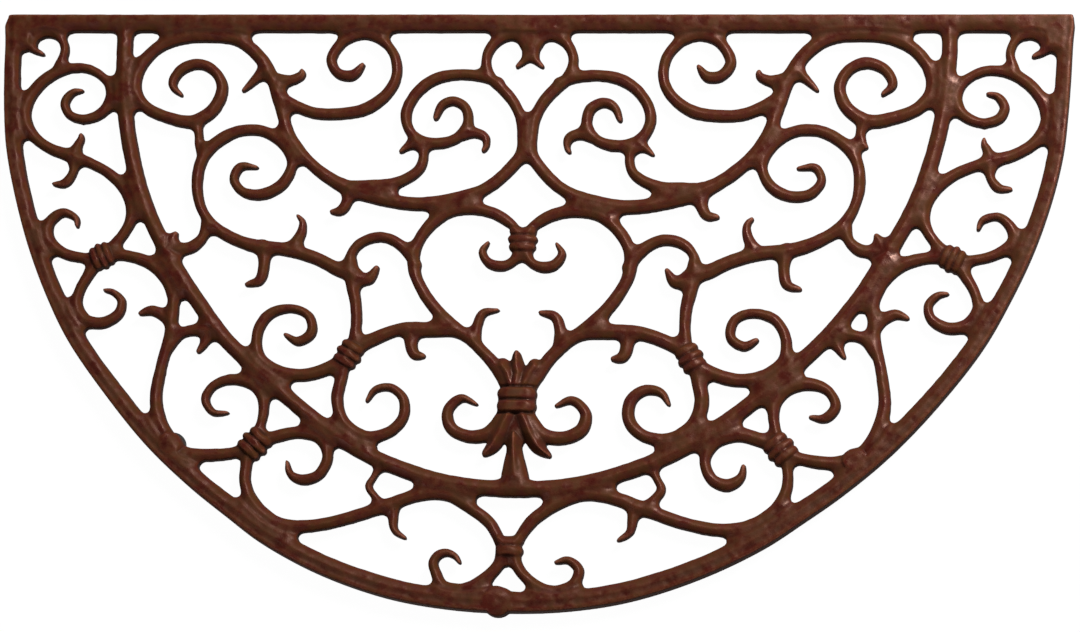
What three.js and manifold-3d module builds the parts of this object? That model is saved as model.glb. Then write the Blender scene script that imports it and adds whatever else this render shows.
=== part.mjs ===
// Half-round door mat: one open cast iron grille of scrollwork on six pressed-in rubber feet.
// Millimetres, +Z up. The floor is z = 0 and the straight back bar lies toward +Y.
import * as THREE from 'three';
import { mergeVertices } from 'three/addons/utils/BufferGeometryUtils.js';
import Module from 'manifold-3d';

const wasm = await Module();
wasm.setup();

// Overall sizes of the mat, over the rim and the back bar
const MAT_WIDTH = 734;
const GRILLE_DEPTH = 410;

// Thicknesses of the casting, from its underside up to the crest of each kind of bar
const RIM_THICKNESS = 10;
const ARCH_THICKNESS = 9.6;
const SCROLL_THICKNESS = 9;
const LEAF_THICKNESS = 8.4;
const CORNER_WEB_THICKNESS = 7;
const COLLAR_THICKNESS = 11;

// Widths of the bars, seen from above. A scroll swells and narrows, and its width is the mean one.
const BACK_BAR_WIDTH = 12.2;
const RIM_SIDE_WIDTH = 11;
const RIM_FRONT_WIDTH = 14.2;
const ARCH_WIDTH = 11.4;
const SCROLL_WIDTH = 8;

// A collar reaches over the two bars it ties, and stands out a little on both sides
const COLLAR_LIP = 1.5;
const COLLAR_LENGTH = 2 * (SCROLL_WIDTH + COLLAR_LIP);
const COLLAR_GIRTH = 2 * SCROLL_WIDTH;
const COLLAR_OVERLAP = 0.8;
const SHEAF_COLLAR_LENGTH = 3 * (SCROLL_WIDTH + COLLAR_LIP);

// Rubber feet, and the round bosses of the casting that hold them
const FOOT_HEIGHT = 4;
const FOOT_RADIUS = 9;
const FOOT_EDGE_ROUNDING = 1.2;
const PLUG_RADIUS = 3.5;
const PLUG_LENGTH = 5;
const FIT_CLEARANCE = 0.3;
const BOSS_WALL = 6.7;
const BOSS_RADIUS = PLUG_RADIUS + FIT_CLEARANCE + BOSS_WALL;
const BOSS_ROUNDING = 2.6;
const BOSS_THICKNESS = 9.6;

// How finely a curved bar is divided
const LARGEST_TURN = THREE.MathUtils.degToRad(32);
const LONGEST_STEP = 30;
const FINE_SAMPLES = 12;

// Cross sections of the bars: across runs from -1 to 1, and up from 0 at the underside to 1 at the crest
const SCROLL_SECTION = [[-1, 0], [1, 0], [0.55, 1], [-0.55, 1]];
const BAR_SECTION = [[-1, 0], [1, 0], [1, 0.6], [0.4, 1], [-0.4, 1], [-1, 0.6]];
const ROOF_SECTION = [[-1, 0], [1, 0], [1, 0.5], [0, 1], [-1, 0.5]];
const RIM_SECTION = [
  [-1, 0], [1, 0], [1, 0.6], [0.75, 1], [0.35, 1], [0.05, 0.75], [-0.2, 0.9], [-0.6, 0.9], [-1, 0.6],
];
const PLATE_SECTION = [[-1, 0], [1, 0], [1, 1], [-1, 1]];

// The plan of the right half. Each bar is a list of [x, y, width] that its centre line runs through.
const RIM_ROUTE = [
  [361.5, 199], [360.5, 186], [359.5, 160], [358, 135], [355.5, 110], [349, 80], [337.5, 44.5], [322.5, 11],
  [305, -21], [275.5, -60], [245.5, -92.5], [216, -118], [190, -137], [165, -154], [125, -174],
  [80, -189.5], [40, -196.5], [0, -198.5],
];
const ARCH_ROUTE = [
  [283, 199], [283.5, 180], [282, 155], [279, 130], [272, 100], [261, 69.5], [244, 37.5], [225, 6.5],
  [203, -20.5], [170, -51.5], [137.5, -77.5], [104, -98], [61.5, -114], [30.5, -120.5], [0, -122],
];

const SCROLLS = {
  // Long S from the lobe under the back bar, past the centre stem, to the big upper curl
  longScroll: [
    [4, 183, 6.6], [8, 189, 7.6], [14.5, 190.5, 7.6], [21.5, 188, 8], [27, 182, 7.6], [29.5, 173, 7.4],
    [26.5, 162, 8.2], [18, 153.5, 8.8], [10, 144, 8.4], [5, 133, 8], [3.5, 121, 7.6], [3.5, 108.5, 9],
    [11, 97, 9.2], [26.5, 83, 8.8], [46, 75.5, 9.6], [68, 71.5, 10.2], [92, 74, 10], [118.5, 82, 10.8],
    [135, 91, 9.6], [151, 104.5, 9.2], [163, 122, 8.8], [170, 143, 9.6], [175, 158.5, 10], [185, 176, 10],
    [201, 188.5, 9.6], [222, 191.5, 9.6], [243, 189.5, 9.6], [258.5, 182.5, 9.2], [270, 168.5, 9.2],
    [272, 152.5, 9.2], [264, 141, 9.2], [248, 134, 9.2], [231, 131.5, 9.6], [216.5, 140, 9.6],
    [210.5, 155, 8.8], [217, 167.5, 8], [228.5, 172, 8.4], [241, 167, 8], [246, 157, 6.8], [239, 149.5, 2],
  ],
  heartScroll: [
    [20, 158, 7.2], [31, 161.5, 8.2], [48.5, 163, 8], [65, 159, 8.6], [77.5, 148.5, 8.4],
    [83.5, 134.5, 8.4], [81, 123.5, 7.8], [73, 116.5, 7.6], [60, 114, 8.4], [47.5, 118, 7.6],
    [40.5, 128, 8], [42.5, 139.5, 7.6], [51, 144, 7.2], [58.5, 141, 6.8], [63, 131.5, 3.8],
  ],
  linkScroll: [
    [76, 115, 8.6], [70.5, 107, 7.2], [72, 97, 7.6], [79.5, 90, 8], [92, 85.5, 8.4], [108, 84.5, 8.6],
    [120, 84, 8.6],
  ],
  innerCurl: [
    [170, 148, 9], [160.5, 142, 8.8], [146.5, 136, 8.8], [129, 135, 8.6], [112, 138, 9], [98.5, 147.5, 8.6],
    [91.5, 160, 8], [93, 175.5, 7.6], [102.5, 187, 7.8], [116, 191, 8], [129.5, 185.5, 8], [136.5, 172, 8],
    [130.5, 163, 7.8], [121.5, 162, 8], [114.5, 169.5, 2.4],
  ],
  branchScroll: [
    [112, 24, 8.4], [123, 26, 10.4], [140, 34, 9.6], [160, 40, 10], [182, 42.5, 10], [198.5, 48.5, 9.4],
    [212.5, 57.5, 8.8], [222, 71, 7.6], [225.5, 88, 8.4], [222.5, 105.5, 8.8], [211.5, 118, 9],
    [196, 125, 8.4], [179, 123.5, 8.4], [165, 112.5, 8.4], [160, 99.5, 7.6], [166, 86.5, 8.4],
    [179, 79.5, 8.4], [192.5, 81, 7.6], [200, 90, 6.8], [196, 99, 6.4], [183.5, 98.5, 2],
  ],
  stemCurl: [
    [71.5, 29.5, 8], [77, 37.5, 9], [87, 46, 8], [98, 49, 8], [111, 44.5, 7.6], [118, 32.5, 6.4],
    [112.5, 22.5, 8.8], [104, 20, 8.4], [98, 28.5, 2.4],
  ],
  stemLink: [[116, 32, 8.6], [115.5, 19, 9.4], [112, 2, 8.8], [111.5, -12, 8.2], [113.5, -26, 8.2]],
  heart: [
    [3.5, 49, 6], [4.5, 55, 6.4], [11, 61, 8.2], [22, 66.5, 8.8], [36, 68.5, 9.2], [50.5, 66, 9], [62.5, 57.5, 9.2],
    [71.5, 44, 8.8], [73.5, 29, 9], [69.5, 17, 8.8], [60, 2.5, 9.2], [48, -9.5, 9.2], [39.5, -16.5, 8.8],
  ],
  heartHook: [
    [3.5, 48, 6.4], [4, 44, 6.8], [4, 36.5, 7.4], [8.5, 31.5, 7.4], [15, 29.5, 8.2], [22.5, 31.5, 7.6], [27, 38.5, 6],
    [23, 46, 2],
  ],
  sheafScroll: [
    [7, -56, 9.6], [13, -46, 9.6], [24, -30, 9.2], [41, -16.5, 9.6], [61, -14.5, 10.8], [81, -15, 10],
    [100.5, -21.5, 10], [114, -29.5, 9.6],
  ],
  collarCurl: [
    [117, -32, 9.4], [121.5, -47, 10], [124.5, -62.5, 10.4], [119, -77.5, 9.8], [102.5, -87, 8.8],
    [86, -84.5, 8.8], [76.5, -74.5, 9.2], [77, -61.5, 8.6], [86, -54, 7.8], [97, -55.5, 6.6],
    [103, -64, 2.4],
  ],
  frontCurl: [
    [117, -33, 9.2], [130, -41.5, 9.6], [148, -46.5, 9.6], [166, -43, 8.8], [178, -32.5, 8], [179, -17, 8],
    [171.5, -5, 7.8], [156, -1, 6.8], [144.5, -6, 7], [142.5, -17.5, 7.6], [151.5, -23.5, 7],
    [160.5, -19, 2.8],
  ],
  outerCurl: [
    [178.5, -91, 7.8], [173.5, -77, 7.8], [173, -63, 9.2], [181, -52.5, 9.4], [196, -48.5, 9],
    [209, -53.5, 7.4], [213.5, -64, 7.8], [207, -71.5, 7.2], [196.5, -71, 2],
  ],
  lowerCurl: [
    [178, -92, 9.6], [165, -87, 10], [149, -83.5, 10], [134, -89, 9.2], [128, -101, 8], [133, -113.5, 8.4],
    [143.5, -117.5, 9], [152, -112.5, 6.8], [154, -104, 2.4],
  ],
  rimTie: [[180, -94, 9.2], [191, -99, 8.6], [206, -101.5, 9.6], [224, -101.5, 9.6]],
  lowerSweep: [
    [180, -93, 7.6], [183, -107, 7.6], [182.5, -120.5, 8], [175, -134, 8.6], [158, -145, 9],
    [138, -147.5, 9.2], [114, -143, 9.2], [91.5, -135.5, 9.8], [65.5, -126.5, 10], [47, -125, 10],
    [29.5, -132, 9.4], [13.5, -144, 8.8], [4, -158, 7.6],
  ],
  sideStem: [
    [290, 37, 8.2], [271, 37.5, 8.4], [254, 32, 9.4], [242, 19.5, 9], [236.5, 2, 8], [238.5, -17, 8],
    [243.5, -42, 8.4], [246, -62, 9.2], [242.5, -78, 9.8], [233, -97, 9.6],
  ],
  archTwig: [[206, -17, 8], [219.5, -15, 8.8], [231, -18, 8], [239.5, -29, 7.2]],
  upperTie: [
    [314, 104.5, 9.2], [300, 100, 8], [285, 92.5, 8.4], [272.5, 79, 8.8], [269, 65, 8.8], [273.5, 53, 7.6],
    [287, 39, 7.6],
  ],
  sideScroll: [
    [310, 103.5, 9.6], [330, 109.5, 8.4], [343, 119, 8.8], [349, 132, 9], [346, 146, 9], [335, 159, 9],
    [320, 166, 7.6], [306, 166, 7], [293.5, 158.5, 7.2], [289, 148, 8.4], [293.5, 136.5, 8.4],
    [306, 130.5, 7.2], [317.5, 133.5, 7.2], [321, 141.5, 7.2], [316.5, 148.5, 6], [309, 150.5, 2],
  ],
  cornerHook: [
    [327.5, 168, 6.6], [324, 179, 6.8], [328.5, 188.5, 6.8], [338, 192, 8.4], [346, 188.5, 8.8],
    [347, 181, 6.4], [339, 176, 2.4],
  ],
  sideCurl: [
    [290, 36, 8], [303, 36.5, 7.6], [317.5, 40.5, 7.8], [328.5, 49, 9], [327.5, 58, 8], [318.5, 66, 6.4],
    [308, 63.5, 5.6], [305, 57, 2.4],
  ],
  sideLoop: [
    [290, 36, 8.4], [297, 26.5, 8.6], [304, 14, 7.6], [306, 3, 8.4], [299, -7.5, 8.8], [287, -10, 8.8],
    [275.5, -3.5, 7.6], [273.5, 5.5, 6.8], [279.5, 12, 5.4], [286.5, 13.5, 2],
  ],
  sheafCurl: [
    [6, -62, 8.8], [9.5, -73, 9.6], [19, -85, 10.4], [33, -87, 9.6], [45, -81, 9.4], [47, -70, 8.2],
    [38, -61.5, 6.6], [26.5, -65.5, 2],
  ],
  frontHook: [
    [3.5, -163, 7.8], [5.5, -174, 8], [15.5, -184.5, 8], [30, -190, 7.8], [43, -185.5, 7.8],
    [46.5, -176, 7.6], [39.5, -169.5, 6.2], [30.5, -171, 2.4],
  ],
};

// Short leaves and thorns that spring from the scrolls, and end in a point
const LEAVES = {
  lily: [[2.5, 188, 8.8], [3, 181, 6.4], [3.5, 174.5, 6.2], [9, 168.5, 2]],
  curlThorn: [[45, 120, 8.8], [36, 122, 8.4], [28.5, 119, 7], [27.5, 113, 5], [29.5, 109, 2.4]],
  linkThorn: [[74, 115, 7.8], [81, 112, 6.2], [86.5, 107.5, 2]],
  swanLeafInner: [[173, 160, 9.6], [163, 159.5, 8], [156.5, 162.5, 6.4], [156, 166, 2.4]],
  swanLeafOuter: [[181, 169, 8.4], [186.5, 162, 7.4], [196, 152.5, 2]],
  swanLeafLow: [[120, 84, 10.6], [120, 73, 9.2], [124, 66, 7.6], [131.5, 65, 2.8]],
  archBranch: [[217.5, 60, 7.4], [219.5, 49.5, 7.6], [226.5, 43, 9.2], [236, 41.5, 9.2], [246, 41.5, 9.8]],
  archThorn: [[243.5, 42, 9.6], [240, 48, 7.6], [237.5, 53, 2.8]],
  branchLeafUp: [[158, 40.5, 9.6], [151.5, 52, 7.6], [151, 59.5, 5.2], [154.5, 64, 2.4]],
  branchLeafDown: [[178, 43, 9.6], [176.5, 30, 8.6], [179, 19, 7.6], [188.5, 15.5, 2]],
  curlLink: [[229, 132, 9.6], [225.5, 123.5, 7.6], [227, 117, 6], [230, 113, 2]],
  sheafLeaf: [[28, -25, 9.6], [27.5, -13, 8.6], [24, -4.5, 7.8], [13.5, -1.5, 2.4]],
  sheafThorn: [[72.5, -14, 8.8], [73, -24, 9.6], [70.5, -31.5, 8], [63.5, -33, 2.8]],
  rimThorn: [[81, -131, 8.2], [81, -141, 7.6], [79.5, -150, 6], [71.5, -156, 2]],
  archLoop: [[90, -103, 7.4], [96.5, -114, 5.8], [99.5, -121.5, 6.8], [91.5, -131.5, 6.8]],
  stemThornIn: [[211, -15, 8.6], [214.5, -24, 6.8], [219, -31, 2]],
  stemThornOut: [[237.5, -12, 8.4], [243, -5.5, 8], [251, -1, 8], [260.5, -3.5, 2]],
  sideThornUp: [[313, 104, 9.2], [310, 112, 7.2], [308, 116, 5.6], [308, 119.5, 2]],
  sideThornDown: [[313, 103, 9.2], [312.5, 93.5, 6.8], [318, 86, 7], [327, 85, 2]],
};

// Bars of the left half that differ too much from the right half to be mirrored
const LEFT_ARCH_ROUTE = [
  [-281.5, 199], [-281.5, 180], [-280.5, 155], [-277.5, 130.5], [-270.5, 100], [-260, 69.5], [-243, 37],
  [-223, 7.5], [-201.5, -20], [-167.5, -51], [-134.5, -77.5], [-101.5, -98.5], [-59.5, -114.5],
  [-29, -120.5],
];
const LEFT_ROUTES = {
  sheafScroll: [
    [-5.5, -54.5, 10.2], [-10.5, -44, 10.4], [-23.5, -29, 8.8], [-41.5, -15, 9.4], [-61.5, -14, 10.8],
    [-81, -14, 9.2], [-100, -21.5, 9.4], [-113, -29.5, 9],
  ],
  collarCurl: [
    [-115.5, -31.5, 7.8], [-119, -47, 8.4], [-121.5, -62.5, 8.8], [-116, -77.5, 8.2], [-100.5, -87.5, 8.4],
    [-84.5, -84, 7.8], [-76, -74, 7.6], [-76.5, -61.5, 7], [-85, -54, 6.2], [-95.5, -55.5, 5],
    [-101.5, -64, 1.6],
  ],
  outerCurl: [
    [-177, -91.5, 6.8], [-172, -77, 6.8], [-172, -63, 8], [-179, -53.5, 8], [-194.5, -49.5, 7.6],
    [-207, -54.5, 6.2], [-211.5, -63.5, 6.4], [-206, -72, 5.8], [-195, -72.5, 1.6],
  ],
  lowerCurl: [
    [-175.5, -93.5, 8.4], [-162.5, -88.5, 8.8], [-146.5, -85.5, 8.6], [-132, -89.5, 8.4], [-126, -102, 7.6],
    [-131.5, -114, 7.6], [-141.5, -117.5, 7.6], [-150.5, -114, 5.8], [-153.5, -105, 1.6],
  ],
  lowerSweep: [
    [-177, -93.5, 8.2], [-181, -107.5, 8], [-181, -121, 8.4], [-173.5, -135, 9], [-157, -147.5, 9.6],
    [-137, -149, 9], [-113, -144, 8.8], [-90, -136.5, 9.2], [-63.5, -127, 9.4], [-45, -126, 9.2],
    [-29.5, -134, 8.8], [-14.5, -145, 8.8], [-6, -159, 8],
  ],
  sideCurl: [
    [-289.5, 34, 7.6], [-302, 34, 7.6], [-316, 37.5, 8], [-327, 47, 9.2], [-327, 58, 8],
    [-317.5, 65.5, 6.8], [-308.5, 61.5, 5.2], [-307, 55.5, 2.4],
  ],
  frontHook: [
    [-5.5, -161.5, 8], [-7, -172.5, 8.4], [-17, -183, 8.4], [-30, -189.5, 8], [-44, -187, 7.6],
    [-49, -179.5, 7.6], [-51, -172, 7], [-47.5, -167, 6.6], [-42, -165.5, 6], [-37, -167.5, 5],
    [-33, -172.5, 1.8],
  ],
  swanLeafLow: [[-121.5, 85, 9.6], [-121.5, 74, 8.2], [-125.5, 68, 7.2], [-132, 67, 2.6]],
  curlLink: [[-230.5, 130, 8.4], [-226.5, 122, 6.4], [-226.5, 114, 5.2], [-224, 104, 4.4]],
  sheafLeaf: [[-29, -23.5, 8], [-28.5, -11.5, 7.2], [-25, -2.5, 6.4], [-14, 0, 1.6]],
  archLoop: [[-87, -104, 5.8], [-94, -115, 4.6], [-97, -122, 5.4], [-89, -131.5, 5.2]],
};

// The rest of the left half mirrors the right half, moved aside a little: places, and the move there
const LEFT_STRAYS = [
  [-355, 195, 0.9, 0.3], [-285, 195, 1, 0.4], [-215, 195, -2.2, -0.9], [-145, 195, 0.8, 1.1],
  [-75, 195, -1.1, -0.3], [-320, 134, -1.3, 1.4], [-250, 134, 1.3, -1.2], [-180, 134, -1.5, -0.8],
  [-110, 134, 1.1, 0.8], [-40, 134, -0.5, 0.3], [-355, 73, 2.7, 0.7], [-285, 73, -2.3, 0.3],
  [-215, 73, 1.6, -0.3], [-145, 73, -0.9, 0.2], [-75, 73, 0, 0.7], [-320, 12, 2.4, -2.7],
  [-250, 12, -1.9, -1.6], [-180, 12, 0.3, 1.6], [-110, 12, 0, -1.6], [-40, 12, 0, 2.1],
  [-285, -49, 1.4, 2.4], [-215, -49, 0.2, -1.4], [-145, -49, 1.4, 1.5], [-75, -49, -1.1, -0.2],
  [-250, -110, -1.7, 1.4], [-180, -110, 1.6, -0.7], [-110, -110, 1.1, -1.1], [-40, -110, 2.2, 0.9],
  [-145, -170, -0.9, -0.7], [-75, -170, -0.4, -0.1],
];
const STRAY_REACH = 48;
const STRAY_FADE = 40;

// Corner web, and the flat between the front hook and the rim: [x, y, width] with square sides
const WEBS = {
  corner: [[353, 178.5, 9], [353, 199, 15]],
  front: [[16, -191, 6], [48, -189.5, 5]],
};

// Collars that seem to tie bars together: centre, the direction along the beads, and how many beads
const COLLARS = [
  { at: [116, -32], along: 30, beads: 3 },
  { at: [178, -93], along: 41, beads: 3 },
  { at: [288.8, 37], along: 65, beads: 3 },
];
const CENTRE_COLLARS = [
  { at: [0, 48.5], along: 0, beads: 3 },
  { at: [0, -160.5], along: 0, beads: 2 },
];
const SHEAF_COLLAR = { at: [0.6, -62], along: 0, beads: 2, length: SHEAF_COLLAR_LENGTH };

// Sheaf at the centre: leaves that stand up from its collar and hang down from it, and the stem below
const SHEAF_LEAVES = [
  [[-3, -56, 8], [-5.4, -46, 9.6], [-9.6, -37.5, 9.4], [-10.6, -33, 4]],
  [[4, -56, 8], [7.8, -46, 9.8], [12, -38, 9.6], [13.4, -33.4, 4]],
  [[0.6, -56, 8], [0.8, -44, 10.4], [-0.4, -35, 8.6], [-1, -28.4, 1.6]],
  [[-3, -68, 8], [-9, -82, 10.4], [-13.6, -92, 10], [-20.4, -99.4, 1.6]],
  [[3.4, -68, 8], [9.6, -82, 10.4], [15, -92, 11], [24.4, -99.8, 1.6]],
];
const STEM = [[0, -68, 13], [0, -84, 12], [0.3, -98, 12.6], [0.8, -105, 15.6], [1.4, -119, 22]];

// Where the six feet stand
const FEET = {
  foot_front: [-6.3, -198],
  foot_left: [-233, -94.5],
  foot_right: [227.3, -99.5],
  foot_back_left: [-354, 190],
  foot_back_right: [354, 190],
  foot_back_middle: [0, 191],
};

// The plan is stretched so that the rim and the back bar meet the overall sizes
const FRONT_Y = RIM_ROUTE.at(-1)[1];
const [BACK_X, BACK_Y] = RIM_ROUTE[0];
const STRETCH_X = (MAT_WIDTH - RIM_SIDE_WIDTH) / (2 * BACK_X);
const STRETCH_Y = (GRILLE_DEPTH - (BACK_BAR_WIDTH + RIM_FRONT_WIDTH) / 2) / (BACK_Y - FRONT_Y);
const drawnWidths = Object.values(SCROLLS).flat().map(([, , width]) => width);
const BAR_WIDENING = SCROLL_WIDTH * drawnWidths.length / drawnWidths.reduce((sum, width) => sum + width);

// Spreads a list of points over a smooth curve, closer together where the curve turns
function divide(route) {
  const knots = route.map(([x, y, width]) => new THREE.Vector3(x * STRETCH_X, y * STRETCH_Y, width));
  const fine = new THREE.CatmullRomCurve3(knots, false, 'centripetal').getPoints(knots.length * FINE_SAMPLES);
  const kept = [fine[0]];
  let turn = 0;
  let run = 0;
  for (let i = 1; i < fine.length - 1; i++) {
    const before = Math.atan2(fine[i].y - fine[i - 1].y, fine[i].x - fine[i - 1].x);
    const after = Math.atan2(fine[i + 1].y - fine[i].y, fine[i + 1].x - fine[i].x);
    turn += Math.atan2(Math.sin(after - before), Math.cos(after - before));
    run += Math.hypot(fine[i].x - fine[i - 1].x, fine[i].y - fine[i - 1].y);
    if (Math.abs(turn) > LARGEST_TURN || run > LONGEST_STEP) {
      kept.push(fine[i]);
      turn = 0;
      run = 0;
    }
  }
  kept.push(fine[fine.length - 1]);
  return kept;
}

// A bar of the casting: a section swept along its route, as wide as the route says and as thick as given
function bar(route, section, thickness) {
  const places = divide(route);
  const sides = section.length;
  const corners = [];
  places.forEach((place, i) => {
    const before = places[Math.max(i - 1, 0)];
    const after = places[Math.min(i + 1, places.length - 1)];
    const length = Math.hypot(after.x - before.x, after.y - before.y);
    const left = [-(after.y - before.y) / length, (after.x - before.x) / length];
    for (const [across, up] of section) {
      const reach = -across * place.z / 2;
      corners.push(place.x + left[0] * reach, place.y + left[1] * reach, FOOT_HEIGHT + up * thickness);
    }
  });
  const outline = section.map(([across, up]) => new THREE.Vector2(across, up));
  const faces = [];
  for (const [a, b, c] of THREE.ShapeUtils.triangulateShape(outline, [])) {
    const end = (places.length - 1) * sides;
    faces.push(a, b, c, end + c, end + b, end + a);
  }
  for (let i = 0; i < places.length - 1; i++) {
    for (let side = 0; side < sides; side++) {
      const next = (side + 1) % sides;
      const here = i * sides;
      const there = here + sides;
      faces.push(here + side, there + side, here + next, here + next, there + side, there + next);
    }
  }
  const geometry = new THREE.BufferGeometry();
  geometry.setAttribute('position', new THREE.Float32BufferAttribute(corners, 3));
  geometry.setIndex(faces);
  return solid(geometry);
}

// A closed mesh as a solid that can be joined and cut
function solid(geometry) {
  const bare = geometry.clone();
  bare.deleteAttribute('normal');
  bare.deleteAttribute('uv');
  const merged = mergeVertices(bare, 1e-4);
  const mesh = new wasm.Mesh({
    numProp: 3,
    vertProperties: new Float32Array(merged.attributes.position.array),
    triVerts: new Uint32Array(merged.index.array),
  });
  return new wasm.Manifold(mesh);
}

function geometryOf(manifold) {
  const { vertProperties, triVerts } = manifold.getMesh();
  const geometry = new THREE.BufferGeometry();
  geometry.setAttribute('position', new THREE.BufferAttribute(vertProperties, 3));
  geometry.setIndex(new THREE.BufferAttribute(triVerts, 1));
  geometry.computeVertexNormals();
  return geometry;
}

// Where a place of the left half lies: each stray counts by its nearness, and all fade out at the middle
function strayed([x, y, ...width]) {
  const fade = Math.min(-x / STRAY_FADE, 1);
  const moved = [x, y];
  for (const [atX, atY, dx, dy] of LEFT_STRAYS) {
    const weight = fade * Math.exp(-((x - atX) ** 2 + (y - atY) ** 2) / (2 * STRAY_REACH ** 2));
    moved[0] += weight * dx;
    moved[1] += weight * dy;
  }
  return [...moved, ...width];
}

const mirrored = (route) => route.map(([x, ...rest]) => strayed([-x, ...rest]));

const widened = (route) => route.map(([x, y, width]) => [x, y, width * BAR_WIDENING]);

// A straight bar from one place to another
function straight(start, end, width, section, thickness) {
  return bar([[...start, width], [...end, width]], section, thickness);
}

// The rim is widest at the front of the mat
function rim() {
  const line = [...RIM_ROUTE, ...mirrored(RIM_ROUTE.slice(0, -1)).reverse()];
  const route = line.map(([x, y]) => {
    const share = THREE.MathUtils.smoothstep(BACK_Y - y, 0.25 * (BACK_Y - FRONT_Y), BACK_Y - FRONT_Y);
    return [x, y, THREE.MathUtils.lerp(RIM_SIDE_WIDTH, RIM_FRONT_WIDTH, share)];
  });
  return bar(route, RIM_SECTION, RIM_THICKNESS);
}

function arch() {
  const route = [...ARCH_ROUTE, ...LEFT_ARCH_ROUTE.toReversed()].map(([x, y]) => [x, y, ARCH_WIDTH]);
  return bar(route, BAR_SECTION, ARCH_THICKNESS);
}

function backBar() {
  const end = BACK_X + RIM_SIDE_WIDTH / 2 / STRETCH_X;
  return straight([-end, BACK_Y], [end, BACK_Y], BACK_BAR_WIDTH, BAR_SECTION, RIM_THICKNESS);
}

// Parallel raised beads laid across the bars that the collar ties
function collar({ at, along, beads, length = COLLAR_LENGTH }, side = 1) {
  const angle = THREE.MathUtils.degToRad(along);
  const direction = [Math.cos(angle), Math.sin(angle)];
  const pitch = COLLAR_GIRTH / beads;
  const parts = [];
  for (let i = 0; i < beads; i++) {
    const offset = (i - (beads - 1) / 2) * pitch;
    const middle = [at[0] - direction[1] * offset, at[1] + direction[0] * offset];
    const ends = [-1, 1].map((way) => [
      middle[0] + way * direction[0] * length / 2,
      middle[1] + way * direction[1] * length / 2,
    ]);
    const [start, end] = side === 1 ? ends : mirrored(ends);
    parts.push(straight(start, end, pitch + COLLAR_OVERLAP, BAR_SECTION, COLLAR_THICKNESS));
  }
  return parts;
}

function sheaf() {
  const leaves = SHEAF_LEAVES.map((leaf) => bar(widened(leaf), ROOF_SECTION, COLLAR_THICKNESS));
  return [...leaves, bar(widened(STEM), ROOF_SECTION, ARCH_THICKNESS), ...collar(SHEAF_COLLAR)];
}

// A round boss with its upper edge rounded off
function boss([x, y]) {
  const profile = [
    [0, 0], [BOSS_RADIUS, 0], [BOSS_RADIUS, BOSS_THICKNESS - BOSS_ROUNDING],
    [BOSS_RADIUS - BOSS_ROUNDING, BOSS_THICKNESS], [0, BOSS_THICKNESS],
  ];
  const geometry = new THREE.LatheGeometry(profile.map(([radius, up]) => new THREE.Vector2(radius, up)), 24);
  geometry.rotateX(Math.PI / 2);
  geometry.translate(x * STRETCH_X, y * STRETCH_Y, FOOT_HEIGHT);
  return solid(geometry);
}

// Blind hole in the underside of a boss, for the plug of a foot
function socket([x, y]) {
  const depth = PLUG_LENGTH + FIT_CLEARANCE;
  const radius = PLUG_RADIUS + FIT_CLEARANCE;
  const below = 1;
  const geometry = new THREE.CylinderGeometry(radius, radius, depth + below, 24);
  geometry.rotateX(Math.PI / 2);
  geometry.translate(x * STRETCH_X, y * STRETCH_Y, FOOT_HEIGHT + (depth - below) / 2);
  return solid(geometry);
}

// The whole casting: everything joined into one body, then the sockets cut
function casting() {
  const parts = [rim(), arch(), backBar(), ...sheaf()];
  const bothSides = (routes, section, thickness) => {
    for (const [name, route] of Object.entries(routes)) {
      parts.push(bar(widened(route), section, thickness));
      parts.push(bar(widened(LEFT_ROUTES[name] ?? mirrored(route)), section, thickness));
    }
  };
  bothSides(SCROLLS, SCROLL_SECTION, SCROLL_THICKNESS);
  bothSides(LEAVES, SCROLL_SECTION, LEAF_THICKNESS);
  bothSides(WEBS, PLATE_SECTION, CORNER_WEB_THICKNESS);
  for (const one of COLLARS) {
    parts.push(...collar(one), ...collar(one, -1));
  }
  for (const one of CENTRE_COLLARS) {
    parts.push(...collar(one));
  }
  const feet = Object.values(FEET);
  const whole = [...parts, ...feet.map(boss)].reduce((sum, part) => sum.add(part));
  return feet.map(socket).reduce((rest, hole) => rest.subtract(hole), whole);
}

// A rubber foot: a round pad with its lower edge rounded, and a plug that presses up into the boss
function footProfile() {
  const top = FOOT_HEIGHT - FIT_CLEARANCE;
  const profile = [new THREE.Vector2(0, 0)];
  for (let i = 0; i <= 3; i++) {
    const angle = i / 3 * Math.PI / 2;
    profile.push(new THREE.Vector2(
      FOOT_RADIUS - FOOT_EDGE_ROUNDING * (1 - Math.sin(angle)),
      FOOT_EDGE_ROUNDING * (1 - Math.cos(angle)),
    ));
  }
  profile.push(new THREE.Vector2(FOOT_RADIUS, top));
  profile.push(new THREE.Vector2(PLUG_RADIUS, top));
  profile.push(new THREE.Vector2(PLUG_RADIUS, FOOT_HEIGHT + PLUG_LENGTH));
  profile.push(new THREE.Vector2(0, FOOT_HEIGHT + PLUG_LENGTH));
  return profile;
}

function foot(name, [x, y]) {
  const geometry = new THREE.LatheGeometry(footProfile(), 24);
  geometry.rotateX(Math.PI / 2);
  const rubber = new THREE.MeshStandardMaterial({ color: '#1c1817', roughness: 0.85, metalness: 0 });
  const mesh = new THREE.Mesh(geometry, rubber);
  mesh.name = name;
  mesh.position.set(x * STRETCH_X, y * STRETCH_Y, 0);
  return mesh;
}

const paintedIron = new THREE.MeshStandardMaterial({ color: '#532411', roughness: 0.45, metalness: 0 });
const grille = new THREE.Mesh(geometryOf(casting()), paintedIron);
grille.name = 'cast_grille';

const mat = new THREE.Group();
mat.add(grille);
for (const [name, place] of Object.entries(FEET)) {
  mat.add(foot(name, place));
}

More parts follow.
